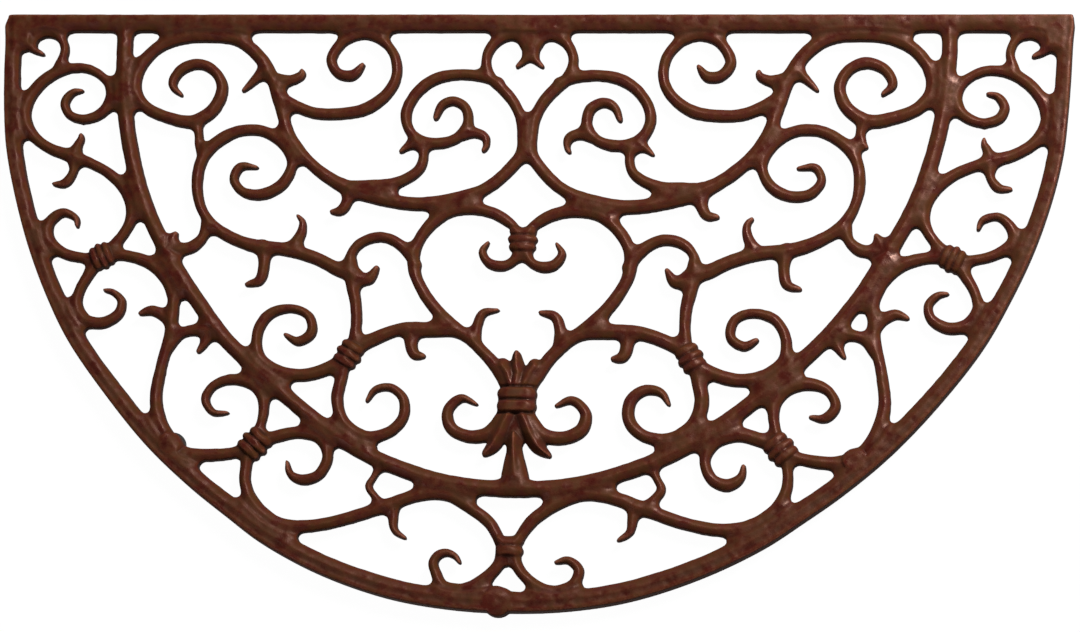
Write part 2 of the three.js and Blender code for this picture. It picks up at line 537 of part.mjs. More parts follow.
// The origin is under the middle of the mat's outline: the front foot's boss stands out past the rim
const backEdge = BACK_Y * STRETCH_Y + BACK_BAR_WIDTH / 2;
const frontEdge = Math.min(backEdge - GRILLE_DEPTH, FEET.foot_front[1] * STRETCH_Y - BOSS_RADIUS);
mat.position.y = -(backEdge + frontEdge) / 2;

export default mat;
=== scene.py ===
# %% [markdown]
# A half-round cast iron door mat. The real one is a single casting: molten iron runs into a sand mould
# that was pressed with a carved pattern, so every scroll, leaf and collar is one body with soft edges and
# soft inner corners. Six rubber feet are pressed into its underside.
#
# The CAD model already has the right plan and thickness, with plain flat-topped bars. Here the casting gets
# its sloping flanks, its blended joints and its painted skin, and the feet get their moulded shape.

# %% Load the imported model
import math

import bmesh
import bpy
import numpy as np
import openvdb
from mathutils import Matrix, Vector


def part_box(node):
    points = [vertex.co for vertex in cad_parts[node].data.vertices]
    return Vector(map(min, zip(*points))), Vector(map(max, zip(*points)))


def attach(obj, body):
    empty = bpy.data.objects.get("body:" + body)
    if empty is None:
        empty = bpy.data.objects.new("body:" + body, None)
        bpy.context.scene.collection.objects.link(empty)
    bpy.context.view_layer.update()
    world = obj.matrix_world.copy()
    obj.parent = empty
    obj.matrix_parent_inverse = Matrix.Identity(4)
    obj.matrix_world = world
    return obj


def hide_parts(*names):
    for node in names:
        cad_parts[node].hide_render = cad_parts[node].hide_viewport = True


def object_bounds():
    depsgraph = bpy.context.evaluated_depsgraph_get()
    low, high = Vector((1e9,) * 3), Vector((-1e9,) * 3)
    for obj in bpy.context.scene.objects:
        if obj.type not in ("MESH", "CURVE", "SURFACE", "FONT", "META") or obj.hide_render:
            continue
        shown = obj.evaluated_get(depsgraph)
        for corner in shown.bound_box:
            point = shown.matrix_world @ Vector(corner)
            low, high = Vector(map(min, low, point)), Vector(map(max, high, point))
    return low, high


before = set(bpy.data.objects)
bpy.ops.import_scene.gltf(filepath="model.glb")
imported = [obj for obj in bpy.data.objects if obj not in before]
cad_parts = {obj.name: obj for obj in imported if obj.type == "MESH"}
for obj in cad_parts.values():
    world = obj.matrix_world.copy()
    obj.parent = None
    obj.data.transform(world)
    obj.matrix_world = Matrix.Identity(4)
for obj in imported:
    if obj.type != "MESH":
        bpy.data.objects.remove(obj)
cad_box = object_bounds()
MM = 0.001
print("CAD box:", cad_box)

# %% [markdown]
# The camera comes first. The photograph looks almost straight down, from in front and a little to the
# right. Its place was worked out from pairs of features that mirror each other on the mat, and a fit of the
# mat's outline to the photograph then turned it by less than half a degree. The pairs don't tell how long
# the lens was. A long one was chosen, which keeps parallel bars parallel, so the camera stands over three
# metres away.

# %% Camera
CAMERA_PLACE_M = (0.4930, -0.7270, 3.2404)
CAMERA_TURN_DEG = (12.827, 7.922, 2.292)
CAMERA_LENS_MM = 166.67
CAMERA_SENSOR_MM = 36
CAMERA_SEES_TO_M = 20


def add_object(name, data):
    """An object for a mesh, a lamp or a camera, placed in the scene."""
    holder = bpy.data.objects.new(name, data)
    bpy.context.scene.collection.objects.link(holder)
    return holder


camera_data = bpy.data.cameras.new("camera")
camera_data.lens = CAMERA_LENS_MM
camera_data.sensor_width = CAMERA_SENSOR_MM
camera_data.clip_end = CAMERA_SEES_TO_M
camera = add_object("camera", camera_data)
camera.location = CAMERA_PLACE_M
camera.rotation_euler = [math.radians(turn) for turn in CAMERA_TURN_DEG]
bpy.context.scene.camera = camera
print("camera at", CAMERA_PLACE_M)

# %% [markdown]
# Colours are written as the eye sees them on a screen, as sRGB hex values. The renderer works with linear
# light, so one function turns them round. A second one adds a node to a material with its settings and
# links, which keeps each material short enough to read.

# %% Helpers for colours and nodes
WHITE = (1, 1, 1, 1)


def to_linear(hex_colour):
    """The linear RGBA of an sRGB hex colour: low values are divided, the rest follow a power of 2.4."""
    parts = [int(hex_colour[i:i + 2], 16) / 255 for i in (1, 3, 5)]
    linear = [part / 12.92 if part <= 0.04045 else ((part + 0.055) / 1.055) ** 2.4 for part in parts]
    return (*linear, 1)


def add_node(tree, kind, settings=None, **inputs):
    """Adds a shader node. Settings are its properties; inputs are values or the sockets that feed them. An
    input is called by its name, with _ for a space, or by _ and its number where names repeat."""
    node = tree.nodes.new("ShaderNode" + kind)
    for name, value in (settings or {}).items():
        setattr(node, name, value)
    for name, value in inputs.items():
        socket = node.inputs[int(name[1:])] if name[0] == "_" else node.inputs[name.replace("_", " ")]
        if isinstance(value, bpy.types.NodeSocket):
            tree.links.new(value, socket)
        else:
            socket.default_value = value
    return node


def new_material(name):
    """An empty node material and its tree."""
    material = bpy.data.materials.new(name)
    material.use_nodes = True
    material.node_tree.nodes.clear()
    return material, material.node_tree


print("sample of linear colour:", to_linear("#4a2016"))

# %% [markdown]
# The stage is a plain white floor. To the camera it is almost pure white, with only a faint shadow, as in
# the photograph. To the object it is a plain pale surface that throws a little light back.

# %% Floor
FLOOR_SIZE_M = 6.0
FLOOR_DROP_M = 0.0002
FLOOR_SHADOW_SHARE = 0.04
FLOOR_GREY = (0.8, 0.8, 0.8, 1)
FLOOR_GLOW = 1.02


def paper_white():
    """Matt white sheet: mostly its own plain white to the camera, so that shadows stay faint."""
    material, tree = new_material("paper_white_sheet")
    rays = add_node(tree, "LightPath")
    seen = add_node(tree, "Math", {"operation": "MAXIMUM"}, _0=rays.outputs["Is Camera Ray"],
                    _1=rays.outputs["Is Glossy Ray"])
    share = add_node(tree, "Math", {"operation": "MULTIPLY"}, _0=seen.outputs[0],
                     _1=1 - FLOOR_SHADOW_SHARE)
    matt = add_node(tree, "BsdfDiffuse", Color=FLOOR_GREY)
    plain = add_node(tree, "Emission", Color=WHITE, Strength=FLOOR_GLOW)
    mixed = add_node(tree, "MixShader", _0=share.outputs[0], _1=matt.outputs[0],
                     _2=plain.outputs[0])
    add_node(tree, "OutputMaterial", Surface=mixed.outputs[0])
    return material


def floor_sheet():
    """A square sheet under the mat, a hair below the floor level so that the feet don't sink into it."""
    half = FLOOR_SIZE_M / 2
    corners = [(x, y, -FLOOR_DROP_M)
               for x, y in ((-half, -half), (half, -half), (half, half), (-half, half))]
    mesh = bpy.data.meshes.new("floor")
    mesh.from_pydata(corners, [], [(0, 1, 2, 3)])
    mesh.materials.append(paper_white())
    return add_object("floor", mesh)


floor_sheet()
print("floor sheet:", FLOOR_SIZE_M, "m")

# %% [markdown]
# The light in the photograph comes from behind the mat and from its right: the bars are lit on the sides
# that face the top and the right of the picture, and dark on the sides that face the front. A soft lamp
# stands there, a larger and much weaker one fills in from the front left, and the world adds a little even
# light.

# %% Lamps and world
LAMPS = {
    "key_lamp": {"place": (1.1, 1.1, 1.5), "size": 0.8, "watts": 76},
    "fill_lamp": {"place": (-1.6, -1.2, 2.2), "size": 1.6, "watts": 12},
}
WORLD_STRENGTH = 0.1


def add_lamp(name, place, size, watts):
    """A square soft lamp that looks at the middle of the mat."""
    lamp = bpy.data.lights.new(name, "AREA")
    lamp.size = size
    lamp.energy = watts
    holder = add_object(name, lamp)
    holder.location = place
    holder.rotation_euler = Vector(place).to_track_quat("Z", "Y").to_euler()


for name, lamp in LAMPS.items():
    add_lamp(name, **lamp)

world = bpy.data.worlds.new("studio")
world.use_nodes = True
background = world.node_tree.nodes["Background"]
background.inputs["Color"].default_value = WHITE
background.inputs["Strength"].default_value = WORLD_STRENGTH
bpy.context.scene.world = world
bpy.context.scene.view_settings.view_transform = "Standard"
print("lamps:", ", ".join(LAMPS))

# %% [markdown]
# The plan of the casting. A carver would draw each scroll as one stroke of a chisel that swells and
# narrows, so each bar here is a short list of places with the width of the stroke there, in millimetres,
# for the right half of the mat. The places were read from the photograph, laid out flat, and then moved a
# little, and made wider, by a fit of the render to the photograph. Nearly the same lists made the CAD
# bars. A smooth curve runs through the places. The left half is the right one mirrored and moved a
# little, because the two halves of the photographed mat differ by some millimetres, and a few of its bars
# have lists of their own.

# %% Routes of the bars
RIM_ROUTE = [
    [362, 214], [361.5, 199], [360.5, 186], [359.5, 160], [358, 135], [355.5, 110], [349, 80], [337.5, 44.5],
    [322.5, 11], [305, -21], [275.5, -60], [245.5, -92.5], [216, -118], [190, -137], [165, -154],
    [125, -174], [80, -189.5], [40, -196.5], [0, -198.5],
]
ARCH_ROUTE = [
    [283, 199], [283.5, 180], [282, 155], [279, 130], [272, 100], [261, 69.5], [244, 37.5], [225, 6.5],
    [203, -20.5], [170, -51.5], [137.5, -77.5], [104, -98], [61.5, -114], [30.5, -120.5], [0, -122],
]

SCROLLS = {
    # Long S from the lobe under the back bar, past the centre stem, to the big upper curl
    "long_scroll": [
        [4, 183, 6.6], [8, 189, 7.6], [14.5, 190.5, 7.6], [21.5, 188, 8], [27, 182, 7.6], [29.5, 173, 7.4],
        [26.5, 162, 8.2], [18, 153.5, 8.8], [10, 144, 8.4], [5, 133, 8], [3.5, 121, 7.6], [3.5, 108.5, 9],
        [11, 97, 9.2], [26.5, 83, 8.8], [46, 75.5, 9.6], [68, 71.5, 10.2], [92, 74, 10], [118.5, 82, 10.8],
        [135, 91, 9.6], [151, 104.5, 9.2], [163, 122, 8.8], [170, 143, 9.6], [175, 158.5, 10],
        [185, 176, 10], [201, 188.5, 9.6], [222, 191.5, 9.6], [243, 189.5, 9.6], [258.5, 182.5, 9.2],
        [270, 168.5, 9.2], [272, 152.5, 9.2], [264, 141, 9.2], [248, 134, 9.2], [231, 131.5, 9.6],
        [216.5, 140, 9.6], [210.5, 155, 8.8], [217, 167.5, 8], [228.5, 172, 8.4], [241, 167, 8],
        [246, 157, 6.8], [239, 149.5, 2],
    ],
    "heart_scroll": [
        [20, 158, 7.2], [31, 161.5, 8.2], [48.5, 163, 8], [65, 159, 8.6], [77.5, 148.5, 8.4],
        [83.5, 134.5, 8.4], [81, 123.5, 7.8], [73, 116.5, 7.6], [60, 114, 8.4], [47.5, 118, 7.6],
        [40.5, 128, 8], [42.5, 139.5, 7.6], [51, 144, 7.2], [58.5, 141, 6.8], [63, 131.5, 3.8],
    ],
    "link_scroll": [
        [76, 115, 8.6], [70.5, 107, 7.2], [72, 97, 7.6], [79.5, 90, 8], [92, 85.5, 8.4], [108, 84.5, 8.6],
        [120, 84, 8.6],
    ],
    "inner_curl": [
        [170, 148, 9], [160.5, 142, 8.8], [146.5, 136, 8.8], [129, 135, 8.6], [112, 138, 9],
        [98.5, 147.5, 8.6], [91.5, 160, 8], [93, 175.5, 7.6], [102.5, 187, 7.8], [116, 191, 8],
        [129.5, 185.5, 8], [136.5, 172, 8], [130.5, 163, 7.8], [121.5, 162, 8], [114.5, 169.5, 2.4],
    ],
    "branch_scroll": [
        [112, 24, 8.4], [123, 26, 10.4], [140, 34, 9.6], [160, 40, 10], [182, 42.5, 10], [198.5, 48.5, 9.4],
        [212.5, 57.5, 8.8], [222, 71, 7.6], [225.5, 88, 8.4], [222.5, 105.5, 8.8], [211.5, 118, 9],
        [196, 125, 8.4], [179, 123.5, 8.4], [165, 112.5, 8.4], [160, 99.5, 7.6], [166, 86.5, 8.4],
        [179, 79.5, 8.4], [192.5, 81, 7.6], [200, 90, 6.8], [196, 99, 6.4], [183.5, 98.5, 2],
    ],
    "stem_curl": [
        [71.5, 29.5, 8], [77, 37.5, 9], [87, 46, 8], [98, 49, 8], [111, 44.5, 7.6], [118, 32.5, 6.4],
        [112.5, 22.5, 8.8], [104, 20, 8.4], [98, 28.5, 2.4],
    ],
    "stem_link": [[116, 32, 8.6], [115.5, 19, 9.4], [112, 2, 8.8], [111.5, -12, 8.2], [113.5, -26, 8.2]],
    "heart": [
        [3.5, 49, 6], [4.5, 55, 6.4], [11, 61, 8.2], [22, 66.5, 8.8], [36, 68.5, 9.2], [50.5, 66, 9],
        [62.5, 57.5, 9.2], [71.5, 44, 8.8], [73.5, 29, 9], [69.5, 17, 8.8], [60, 2.5, 9.2],
        [48, -9.5, 9.2], [39.5, -16.5, 8.8],
    ],
    "heart_hook": [
        [3.5, 48, 6.4], [4, 44, 6.8], [4, 36.5, 7.4], [8.5, 31.5, 7.4], [15, 29.5, 8.2],
        [22.5, 31.5, 7.6], [27, 38.5, 6], [23, 46, 2],
    ],
    "sheaf_scroll": [
        [7, -56, 9.6], [13, -46, 9.6], [24, -30, 9.2], [41, -16.5, 9.6], [61, -14.5, 10.8], [81, -15, 10],
        [100.5, -21.5, 10], [114, -29.5, 9.6],
    ],
    "collar_curl": [
        [117, -32, 9.4], [121.5, -47, 10], [124.5, -62.5, 10.4], [119, -77.5, 9.8], [102.5, -87, 8.8],
        [86, -84.5, 8.8], [76.5, -74.5, 9.2], [77, -61.5, 8.6], [86, -54, 7.8], [97, -55.5, 6.6],
        [103, -64, 2.4],
    ],
    "front_curl": [
        [117, -33, 9.2], [130, -41.5, 9.6], [148, -46.5, 9.6], [166, -43, 8.8], [178, -32.5, 8],
        [179, -17, 8], [171.5, -5, 7.8], [156, -1, 6.8], [144.5, -6, 7], [142.5, -17.5, 7.6],
        [151.5, -23.5, 7], [160.5, -19, 2.8],
    ],
    "outer_curl": [
        [178.5, -91, 7.8], [173.5, -77, 7.8], [173, -63, 9.2], [181, -52.5, 9.4], [196, -48.5, 9],
        [209, -53.5, 7.4], [213.5, -64, 7.8], [207, -71.5, 7.2], [196.5, -71, 2],
    ],
    "lower_curl": [
        [178, -92, 9.6], [165, -87, 10], [149, -83.5, 10], [134, -89, 9.2], [128, -101, 8],
        [133, -113.5, 8.4], [143.5, -117.5, 9], [152, -112.5, 6.8], [154, -104, 2.4],
    ],
    "rim_tie": [[180, -94, 9.2], [191, -99, 8.6], [206, -101.5, 9.6], [224, -101.5, 9.6]],
    "lower_sweep": [
        [180, -93, 7.6], [183, -107, 7.6], [182.5, -120.5, 8], [175, -134, 8.6], [158, -145, 9],
        [138, -147.5, 9.2], [114, -143, 9.2], [91.5, -135.5, 9.8], [65.5, -126.5, 10], [47, -125, 10],
        [29.5, -132, 9.4], [13.5, -144, 8.8], [4, -158, 7.6],
    ],
    "side_stem": [
        [290, 37, 8.2], [271, 37.5, 8.4], [254, 32, 9.4], [242, 19.5, 9], [236.5, 2, 8], [238.5, -17, 8],
        [243.5, -42, 8.4], [246, -62, 9.2], [242.5, -78, 9.8], [233, -97, 9.6],
    ],
    "arch_twig": [[206, -17, 8], [219.5, -15, 8.8], [231, -18, 8], [239.5, -29, 7.2]],
    "upper_tie": [
        [314, 104.5, 9.2], [300, 100, 8], [285, 92.5, 8.4], [272.5, 79, 8.8], [269, 65, 8.8],
        [273.5, 53, 7.6], [287, 39, 7.6],
    ],
    "side_scroll": [
        [310, 103.5, 9.6], [330, 109.5, 8.4], [343, 119, 8.8], [349, 132, 9], [346, 146, 9], [335, 159, 9],
        [320, 166, 7.6], [306, 166, 7], [293.5, 158.5, 7.2], [289, 148, 8.4], [293.5, 136.5, 8.4],
        [306, 130.5, 7.2], [317.5, 133.5, 7.2], [321, 141.5, 7.2], [316.5, 148.5, 6], [309, 150.5, 2],
    ],
    "corner_hook": [
        [327.5, 168, 6.6], [324, 179, 6.8], [328.5, 188.5, 6.8], [338, 192, 8.4], [346, 188.5, 8.8],
        [347, 181, 6.4], [339, 176, 2.4],
    ],
    "side_curl": [
        [290, 36, 8], [303, 36.5, 7.6], [317.5, 40.5, 7.8], [328.5, 49, 9], [327.5, 58, 8],
        [318.5, 66, 6.4], [308, 63.5, 5.6], [305, 57, 2.4],
    ],
    "side_loop": [
        [290, 36, 8.4], [297, 26.5, 8.6], [304, 14, 7.6], [306, 3, 8.4], [299, -7.5, 8.8], [287, -10, 8.8],
        [275.5, -3.5, 7.6], [273.5, 5.5, 6.8], [279.5, 12, 5.4], [286.5, 13.5, 2],
    ],
    "sheaf_curl": [
        [6, -62, 8.8], [9.5, -73, 9.6], [19, -85, 10.4], [33, -87, 9.6], [45, -81, 9.4], [47, -70, 8.2],
        [38, -61.5, 6.6], [26.5, -65.5, 2],
    ],
    "front_hook": [
        [3.5, -163, 7.8], [5.5, -174, 8], [15.5, -184.5, 8], [30, -190, 7.8], [43, -185.5, 7.8],
        [46.5, -176, 7.6], [39.5, -169.5, 6.2], [30.5, -171, 2.4],
    ],
}

# Short leaves and thorns that spring from the scrolls, and end in a point
LEAVES = {
    "lily": [[2.5, 188, 8.8], [3, 181, 6.4], [3.5, 174.5, 6.2], [9, 168.5, 2]],
    "curl_thorn": [[45, 120, 8.8], [36, 122, 8.4], [28.5, 119, 7], [27.5, 113, 5], [29.5, 109, 2.4]],
    "link_thorn": [[74, 115, 7.8], [81, 112, 6.2], [86.5, 107.5, 2]],
    "swan_leaf_inner": [[173, 160, 9.6], [163, 159.5, 8], [156.5, 162.5, 6.4], [156, 166, 2.4]],
    "swan_leaf_outer": [[181, 169, 8.4], [186.5, 162, 7.4], [196, 152.5, 2]],
    "swan_leaf_low": [[120, 84, 10.6], [120, 73, 9.2], [124, 66, 7.6], [131.5, 65, 2.8]],
    "arch_branch": [
        [217.5, 60, 7.4], [219.5, 49.5, 7.6], [226.5, 43, 9.2], [236, 41.5, 9.2], [246, 41.5, 9.8],
    ],
    "arch_thorn": [[243.5, 42, 9.6], [240, 48, 7.6], [237.5, 53, 2.8]],
    "branch_leaf_up": [[158, 40.5, 9.6], [151.5, 52, 7.6], [151, 59.5, 5.2], [154.5, 64, 2.4]],
    "branch_leaf_down": [[178, 43, 9.6], [176.5, 30, 8.6], [179, 19, 7.6], [188.5, 15.5, 2]],
    "curl_link": [[229, 132, 9.6], [225.5, 123.5, 7.6], [227, 117, 6], [230, 113, 2]],
    "sheaf_leaf": [[28, -25, 9.6], [27.5, -13, 8.6], [24, -4.5, 7.8], [13.5, -1.5, 2.4]],
    "sheaf_thorn": [[72.5, -14, 8.8], [73, -24, 9.6], [70.5, -31.5, 8], [63.5, -33, 2.8]],
    "rim_thorn": [[81, -131, 8.2], [81, -141, 7.6], [79.5, -150, 6], [71.5, -156, 2]],
    "arch_loop": [[90, -103, 7.4], [96.5, -114, 5.8], [99.5, -121.5, 6.8], [91.5, -131.5, 6.8]],
    "stem_thorn_in": [[211, -15, 8.6], [214.5, -24, 6.8], [219, -31, 2]],
    "stem_thorn_out": [[237.5, -12, 8.4], [243, -5.5, 8], [251, -1, 8], [260.5, -3.5, 2]],
    "side_thorn_up": [[313, 104, 9.2], [310, 112, 7.2], [308, 116, 5.6], [308, 119.5, 2]],
    "side_thorn_down": [[313, 103, 9.2], [312.5, 93.5, 6.8], [318, 86, 7], [327, 85, 2]],
}

# Bars of the left half that differ too much from the right half to be mirrored
LEFT_ARCH_ROUTE = [
    [-281.5, 199], [-281.5, 180], [-280.5, 155], [-277.5, 130.5], [-270.5, 100], [-260, 69.5], [-243, 37],
    [-223, 7.5], [-201.5, -20], [-167.5, -51], [-134.5, -77.5], [-101.5, -98.5], [-59.5, -114.5],
    [-29, -120.5],
]
LEFT_ROUTES = {
    "sheaf_scroll": [
        [-5.5, -54.5, 10.2], [-10.5, -44, 10.4], [-23.5, -29, 8.8], [-41.5, -15, 9.4], [-61.5, -14, 10.8],
        [-81, -14, 9.2], [-100, -21.5, 9.4], [-113, -29.5, 9],
    ],
    "collar_curl": [
        [-115.5, -31.5, 7.8], [-119, -47, 8.4], [-121.5, -62.5, 8.8], [-116, -77.5, 8.2],
        [-100.5, -87.5, 8.4], [-84.5, -84, 7.8], [-76, -74, 7.6], [-76.5, -61.5, 7], [-85, -54, 6.2],
        [-95.5, -55.5, 5], [-101.5, -64, 1.6],
    ],
    "outer_curl": [
        [-177, -91.5, 6.8], [-172, -77, 6.8], [-172, -63, 8], [-179, -53.5, 8], [-194.5, -49.5, 7.6],
        [-207, -54.5, 6.2], [-211.5, -63.5, 6.4], [-206, -72, 5.8], [-195, -72.5, 1.6],
    ],
    "lower_curl": [
        [-175.5, -93.5, 8.4], [-162.5, -88.5, 8.8], [-146.5, -85.5, 8.6], [-132, -89.5, 8.4],
        [-126, -102, 7.6], [-131.5, -114, 7.6], [-141.5, -117.5, 7.6], [-150.5, -114, 5.8],
        [-153.5, -105, 1.6],
    ],
    "lower_sweep": [
        [-177, -93.5, 8.2], [-181, -107.5, 8], [-181, -121, 8.4], [-173.5, -135, 9], [-157, -147.5, 9.6],
        [-137, -149, 9], [-113, -144, 8.8], [-90, -136.5, 9.2], [-63.5, -127, 9.4], [-45, -126, 9.2],
        [-29.5, -134, 8.8], [-14.5, -145, 8.8], [-6, -159, 8],
    ],
    "side_curl": [
        [-289.5, 34, 7.6], [-302, 34, 7.6], [-316, 37.5, 8], [-327, 47, 9.2], [-327, 58, 8],
        [-317.5, 65.5, 6.8], [-308.5, 61.5, 5.2], [-307, 55.5, 2.4],
    ],
    "front_hook": [
        [-5.5, -161.5, 8], [-7, -172.5, 8.4], [-17, -183, 8.4], [-30, -189.5, 8], [-44, -187, 7.6],
        [-49, -179.5, 7.6], [-51, -172, 7], [-47.5, -167, 6.6], [-42, -165.5, 6], [-37, -167.5, 5],
        [-33, -172.5, 1.8],
    ],
    "swan_leaf_low": [[-121.5, 85, 9.6], [-121.5, 74, 8.2], [-125.5, 68, 7.2], [-132, 67, 2.6]],
    "curl_link": [[-230.5, 130, 8.4], [-226.5, 122, 6.4], [-226.5, 114, 5.2], [-224, 104, 4.4]],
    "sheaf_leaf": [[-29, -23.5, 8], [-28.5, -11.5, 7.2], [-25, -2.5, 6.4], [-14, 0, 1.6]],
    "arch_loop": [[-87, -104, 5.8], [-94, -115, 4.6], [-97, -122, 5.4], [-89, -131.5, 5.2]],
}

# How far the left half strays from the mirror image, by the same fit: a place there, and the move
LEFT_STRAYS = [
    (-355, 195, 0.9, 0.3), (-285, 195, 1, 0.4), (-215, 195, -2.2, -0.9), (-145, 195, 0.8, 1.1),
    (-75, 195, -1.1, -0.3), (-320, 134, -1.3, 1.4), (-250, 134, 1.3, -1.2), (-180, 134, -1.5, -0.8),
    (-110, 134, 1.1, 0.8), (-40, 134, -0.5, 0.3), (-355, 73, 2.7, 0.7), (-285, 73, -2.3, 0.3),
    (-215, 73, 1.6, -0.3), (-145, 73, -0.9, 0.2), (-75, 73, 0, 0.7), (-320, 12, 2.4, -2.7),
    (-250, 12, -1.9, -1.6), (-180, 12, 0.3, 1.6), (-110, 12, 0, -1.6), (-40, 12, 0, 2.1),
    (-285, -49, 1.4, 2.4), (-215, -49, 0.2, -1.4), (-145, -49, 1.4, 1.5), (-75, -49, -1.1, -0.2),
    (-250, -110, -1.7, 1.4), (-180, -110, 1.6, -0.7), (-110, -110, 1.1, -1.1), (-40, -110, 2.2, 0.9),
    (-145, -170, -0.9, -0.7), (-75, -170, -0.4, -0.1),
]

# Short collars: centre, direction of the beads in degrees, length, number of beads and their pitch
COLLARS = [
    {"at": (116, -32), "along": 30, "length": 19, "beads": 3, "pitch": 5.6},
    {"at": (178, -93), "along": 41, "length": 21, "beads": 3, "pitch": 5.8},
    {"at": (288.8, 37), "along": 65, "length": 19, "beads": 3, "pitch": 4.8},
]
CENTRE_COLLARS = [
    {"at": (0, 48.5), "along": 0, "length": 21, "beads": 3, "pitch": 5.4},
    {"at": (0, -160.5), "along": 0, "length": 19, "beads": 2, "pitch": 7},
]

# The sheaf's collar: two flat bands over a plain core, with a line cut above, between and below them
SHEAF_COLLAR = {"at": (0.6, -62), "along": 0, "length": 28, "beads": 2, "pitch": 8.4}
SHEAF_COLLAR_CORE = [(-5, -62, 15), (6.2, -62, 15)]
SHEAF_COLLAR_LINES = [[(-15, y, 2.4), (16, y, 2.4)] for y in (-53.2, -62, -70.8)]

# The sheaf: leaves that stand up from its collar and leaves that hang down, the body that they spring
# from, the leaf in front of it, the stem below and the foot where the stem meets the arch
SHEAF_LEAVES = [
    [(-3, -56, 8), (-5.4, -46, 11), (-9.8, -38, 10.6)],
    [(4, -56, 8), (7.4, -46, 11), (11.8, -38.4, 10.6)],
    [(0.6, -56, 8), (0.8, -44, 10.4), (-0.4, -35, 8.6), (-1, -28.4, 1.4)],
    [(-3, -68, 8), (-9, -82, 10.4), (-13.6, -92, 10), (-20.4, -99.4, 1.6)],
    [(3.4, -68, 8), (9.6, -82, 10.4), (15, -92, 11), (24.4, -99.8, 1.6)],
]
SHEAF_BODY = [(0, -48, 19), (0, -57, 20), (0, -66, 18), (0, -78, 17), (0, -90, 13)]
SHEAF_FRONT_LEAF = [(0, -57, 14), (0, -51, 8), (0, -45, 1.4)]
STEM = [(-0.3, -84, 1.4), (0, -91, 9.6), (0.3, -98, 12), (0.8, -106, 15.6), (1.4, -114, 19)]
STEM_FOOT = [(0.9, -108, 13), (1.4, -119, 18)]
print(len(SCROLLS), "scrolls and", len(LEAVES), "leaves on each side")

# %% [markdown]
# A smooth curve through the places. The centripetal kind of Catmull-Rom curve never overshoots or loops
# between two places, which matters where a curl tightens to its tip. The width rides along as a third
# coordinate, so it swells as smoothly as the curve bends.

# %% Curve through a route
BACK_EDGE_MM = 205.0
PATTERN_TO_FRAME_Y = cad_box[1][1] / MM - BACK_EDGE_MM
CURVE_STEP_MM = 1.2
TIP_SHARE = 0.75
STRAY_REACH_MM = 48.0
STRAY_FADE_MM = 40.0
LEFT_WIDTH_SHARE = 0.96


def smooth_route(route):
    """Points a step or less apart on a centripetal Catmull-Rom curve: between two places it is the cubic
    whose end slopes come from the neighbouring places, spaced by the root of their distance. The width of
    a tip falls with the root of what is left of its last stretch."""
    knots = np.array(route, float)
    knots = np.vstack([2 * knots[0] - knots[1], knots, 2 * knots[-1] - knots[-2]])
    gap = np.linalg.norm(np.diff(knots, axis=0), axis=1, keepdims=True) ** 0.5
    p0, p1, p2, p3 = knots[:-3], knots[1:-2], knots[2:-1], knots[3:]
    g0, g1, g2 = gap[:-2], gap[1:-1], gap[2:]
    slope1 = ((p1 - p0) / g0 - (p2 - p0) / (g0 + g1) + (p2 - p1) / g1) * g1
    slope2 = ((p2 - p1) / g1 - (p3 - p1) / (g1 + g2) + (p3 - p2) / g2) * g1
    count = int(np.ceil((gap[1:-1] ** 2).max() / CURVE_STEP_MM))
    u = np.linspace(0, 1, count, endpoint=False)[:, None, None]
    curve = (p1 + slope1 * u + (3 * (p2 - p1) - 2 * slope1 - slope2) * u ** 2
             + (2 * (p1 - p2) + slope1 + slope2) * u ** 3)
    before, last = knots[-3, 2], knots[-2, 2]
    if last < TIP_SHARE * before:
        curve[:, -1, 2] = last + (before - last) * np.sqrt(1 - u[:, 0, 0])
    return np.vstack([curve.transpose(1, 0, 2).reshape(-1, 3), knots[-2:-1]])


def stray(x, y):
    """Where a place of the left half really lies: each known stray counts by its nearness, which falls
    like a bell, and all of them fade out towards the middle line."""
    at_x, at_y, dx, dy = np.array(LEFT_STRAYS).T
    bells = np.exp(-((x - at_x) ** 2 + (y - at_y) ** 2) / (2 * STRAY_REACH_MM ** 2))
    weights = bells * min(-x / STRAY_FADE_MM, 1)
    return x + weights @ dx, y + weights @ dy


def mirrored(route):
    """The same route on the left half, moved by how far the left half strays there. The carver cut those
    bars a little slimmer."""
    return [(*stray(-x, y), *(LEFT_WIDTH_SHARE * width for width in widths)) for x, y, *widths in route]


print("longest scroll has", len(smooth_route(SCROLLS["long_scroll"])), "curve points")

# %% [markdown]
# A sand mould is pressed with a pattern that has to pull out upwards again, so a casting like this is a
# relief: an outline, seen from above, and a height of the metal inside it. Both are worked out here as
# maps on a fine grid. One map holds how far each place lies outside the outline, or how deep inside it as a
# value below zero, and one how high the metal's crest is there. Swept tubes would leave a hard crease at
# every joint, but maps can be blended, so that each corner between two bars gets the round that sand and
# metal give it.

# %% Maps of the relief
GRID_MM = 0.8
MARGIN_MM = 5.0
FAR = 30.0
UNDERSIDE_MM = 4.0
SCROLL_THICKNESS = 9.0

iron_low, iron_high = [[place / MM for place in corner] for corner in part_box("cast_grille")]
grid_x = np.arange(iron_low[0] - MARGIN_MM, iron_high[0] + MARGIN_MM, GRID_MM)
grid_y = np.arange(iron_low[1] - MARGIN_MM, iron_high[1] + MARGIN_MM, GRID_MM) - PATTERN_TO_FRAME_Y
outline = np.full((len(grid_x), len(grid_y)), FAR)
crest = np.full_like(outline, SCROLL_THICKNESS)
print("maps of", outline.shape, "places")

# %% [markdown]
# One bar. What counts is the distance to its centre line, less half of its width. Where the edges of two
# bars face each other, as in the sharp corner between them, the blend fills the corner with a round. Where
# they run the same way it adds nothing, so that bars don't swell where their routes overlap. A bar is worked
# out only in a window of the maps round it, and its centre line a few pieces at a time, to save memory.

# %% Bars
BLEND_MM = 3.5
MIX_MM = 3.0
WINDOW_MARGIN = 1.5
PIECES_AT_ONCE = 24


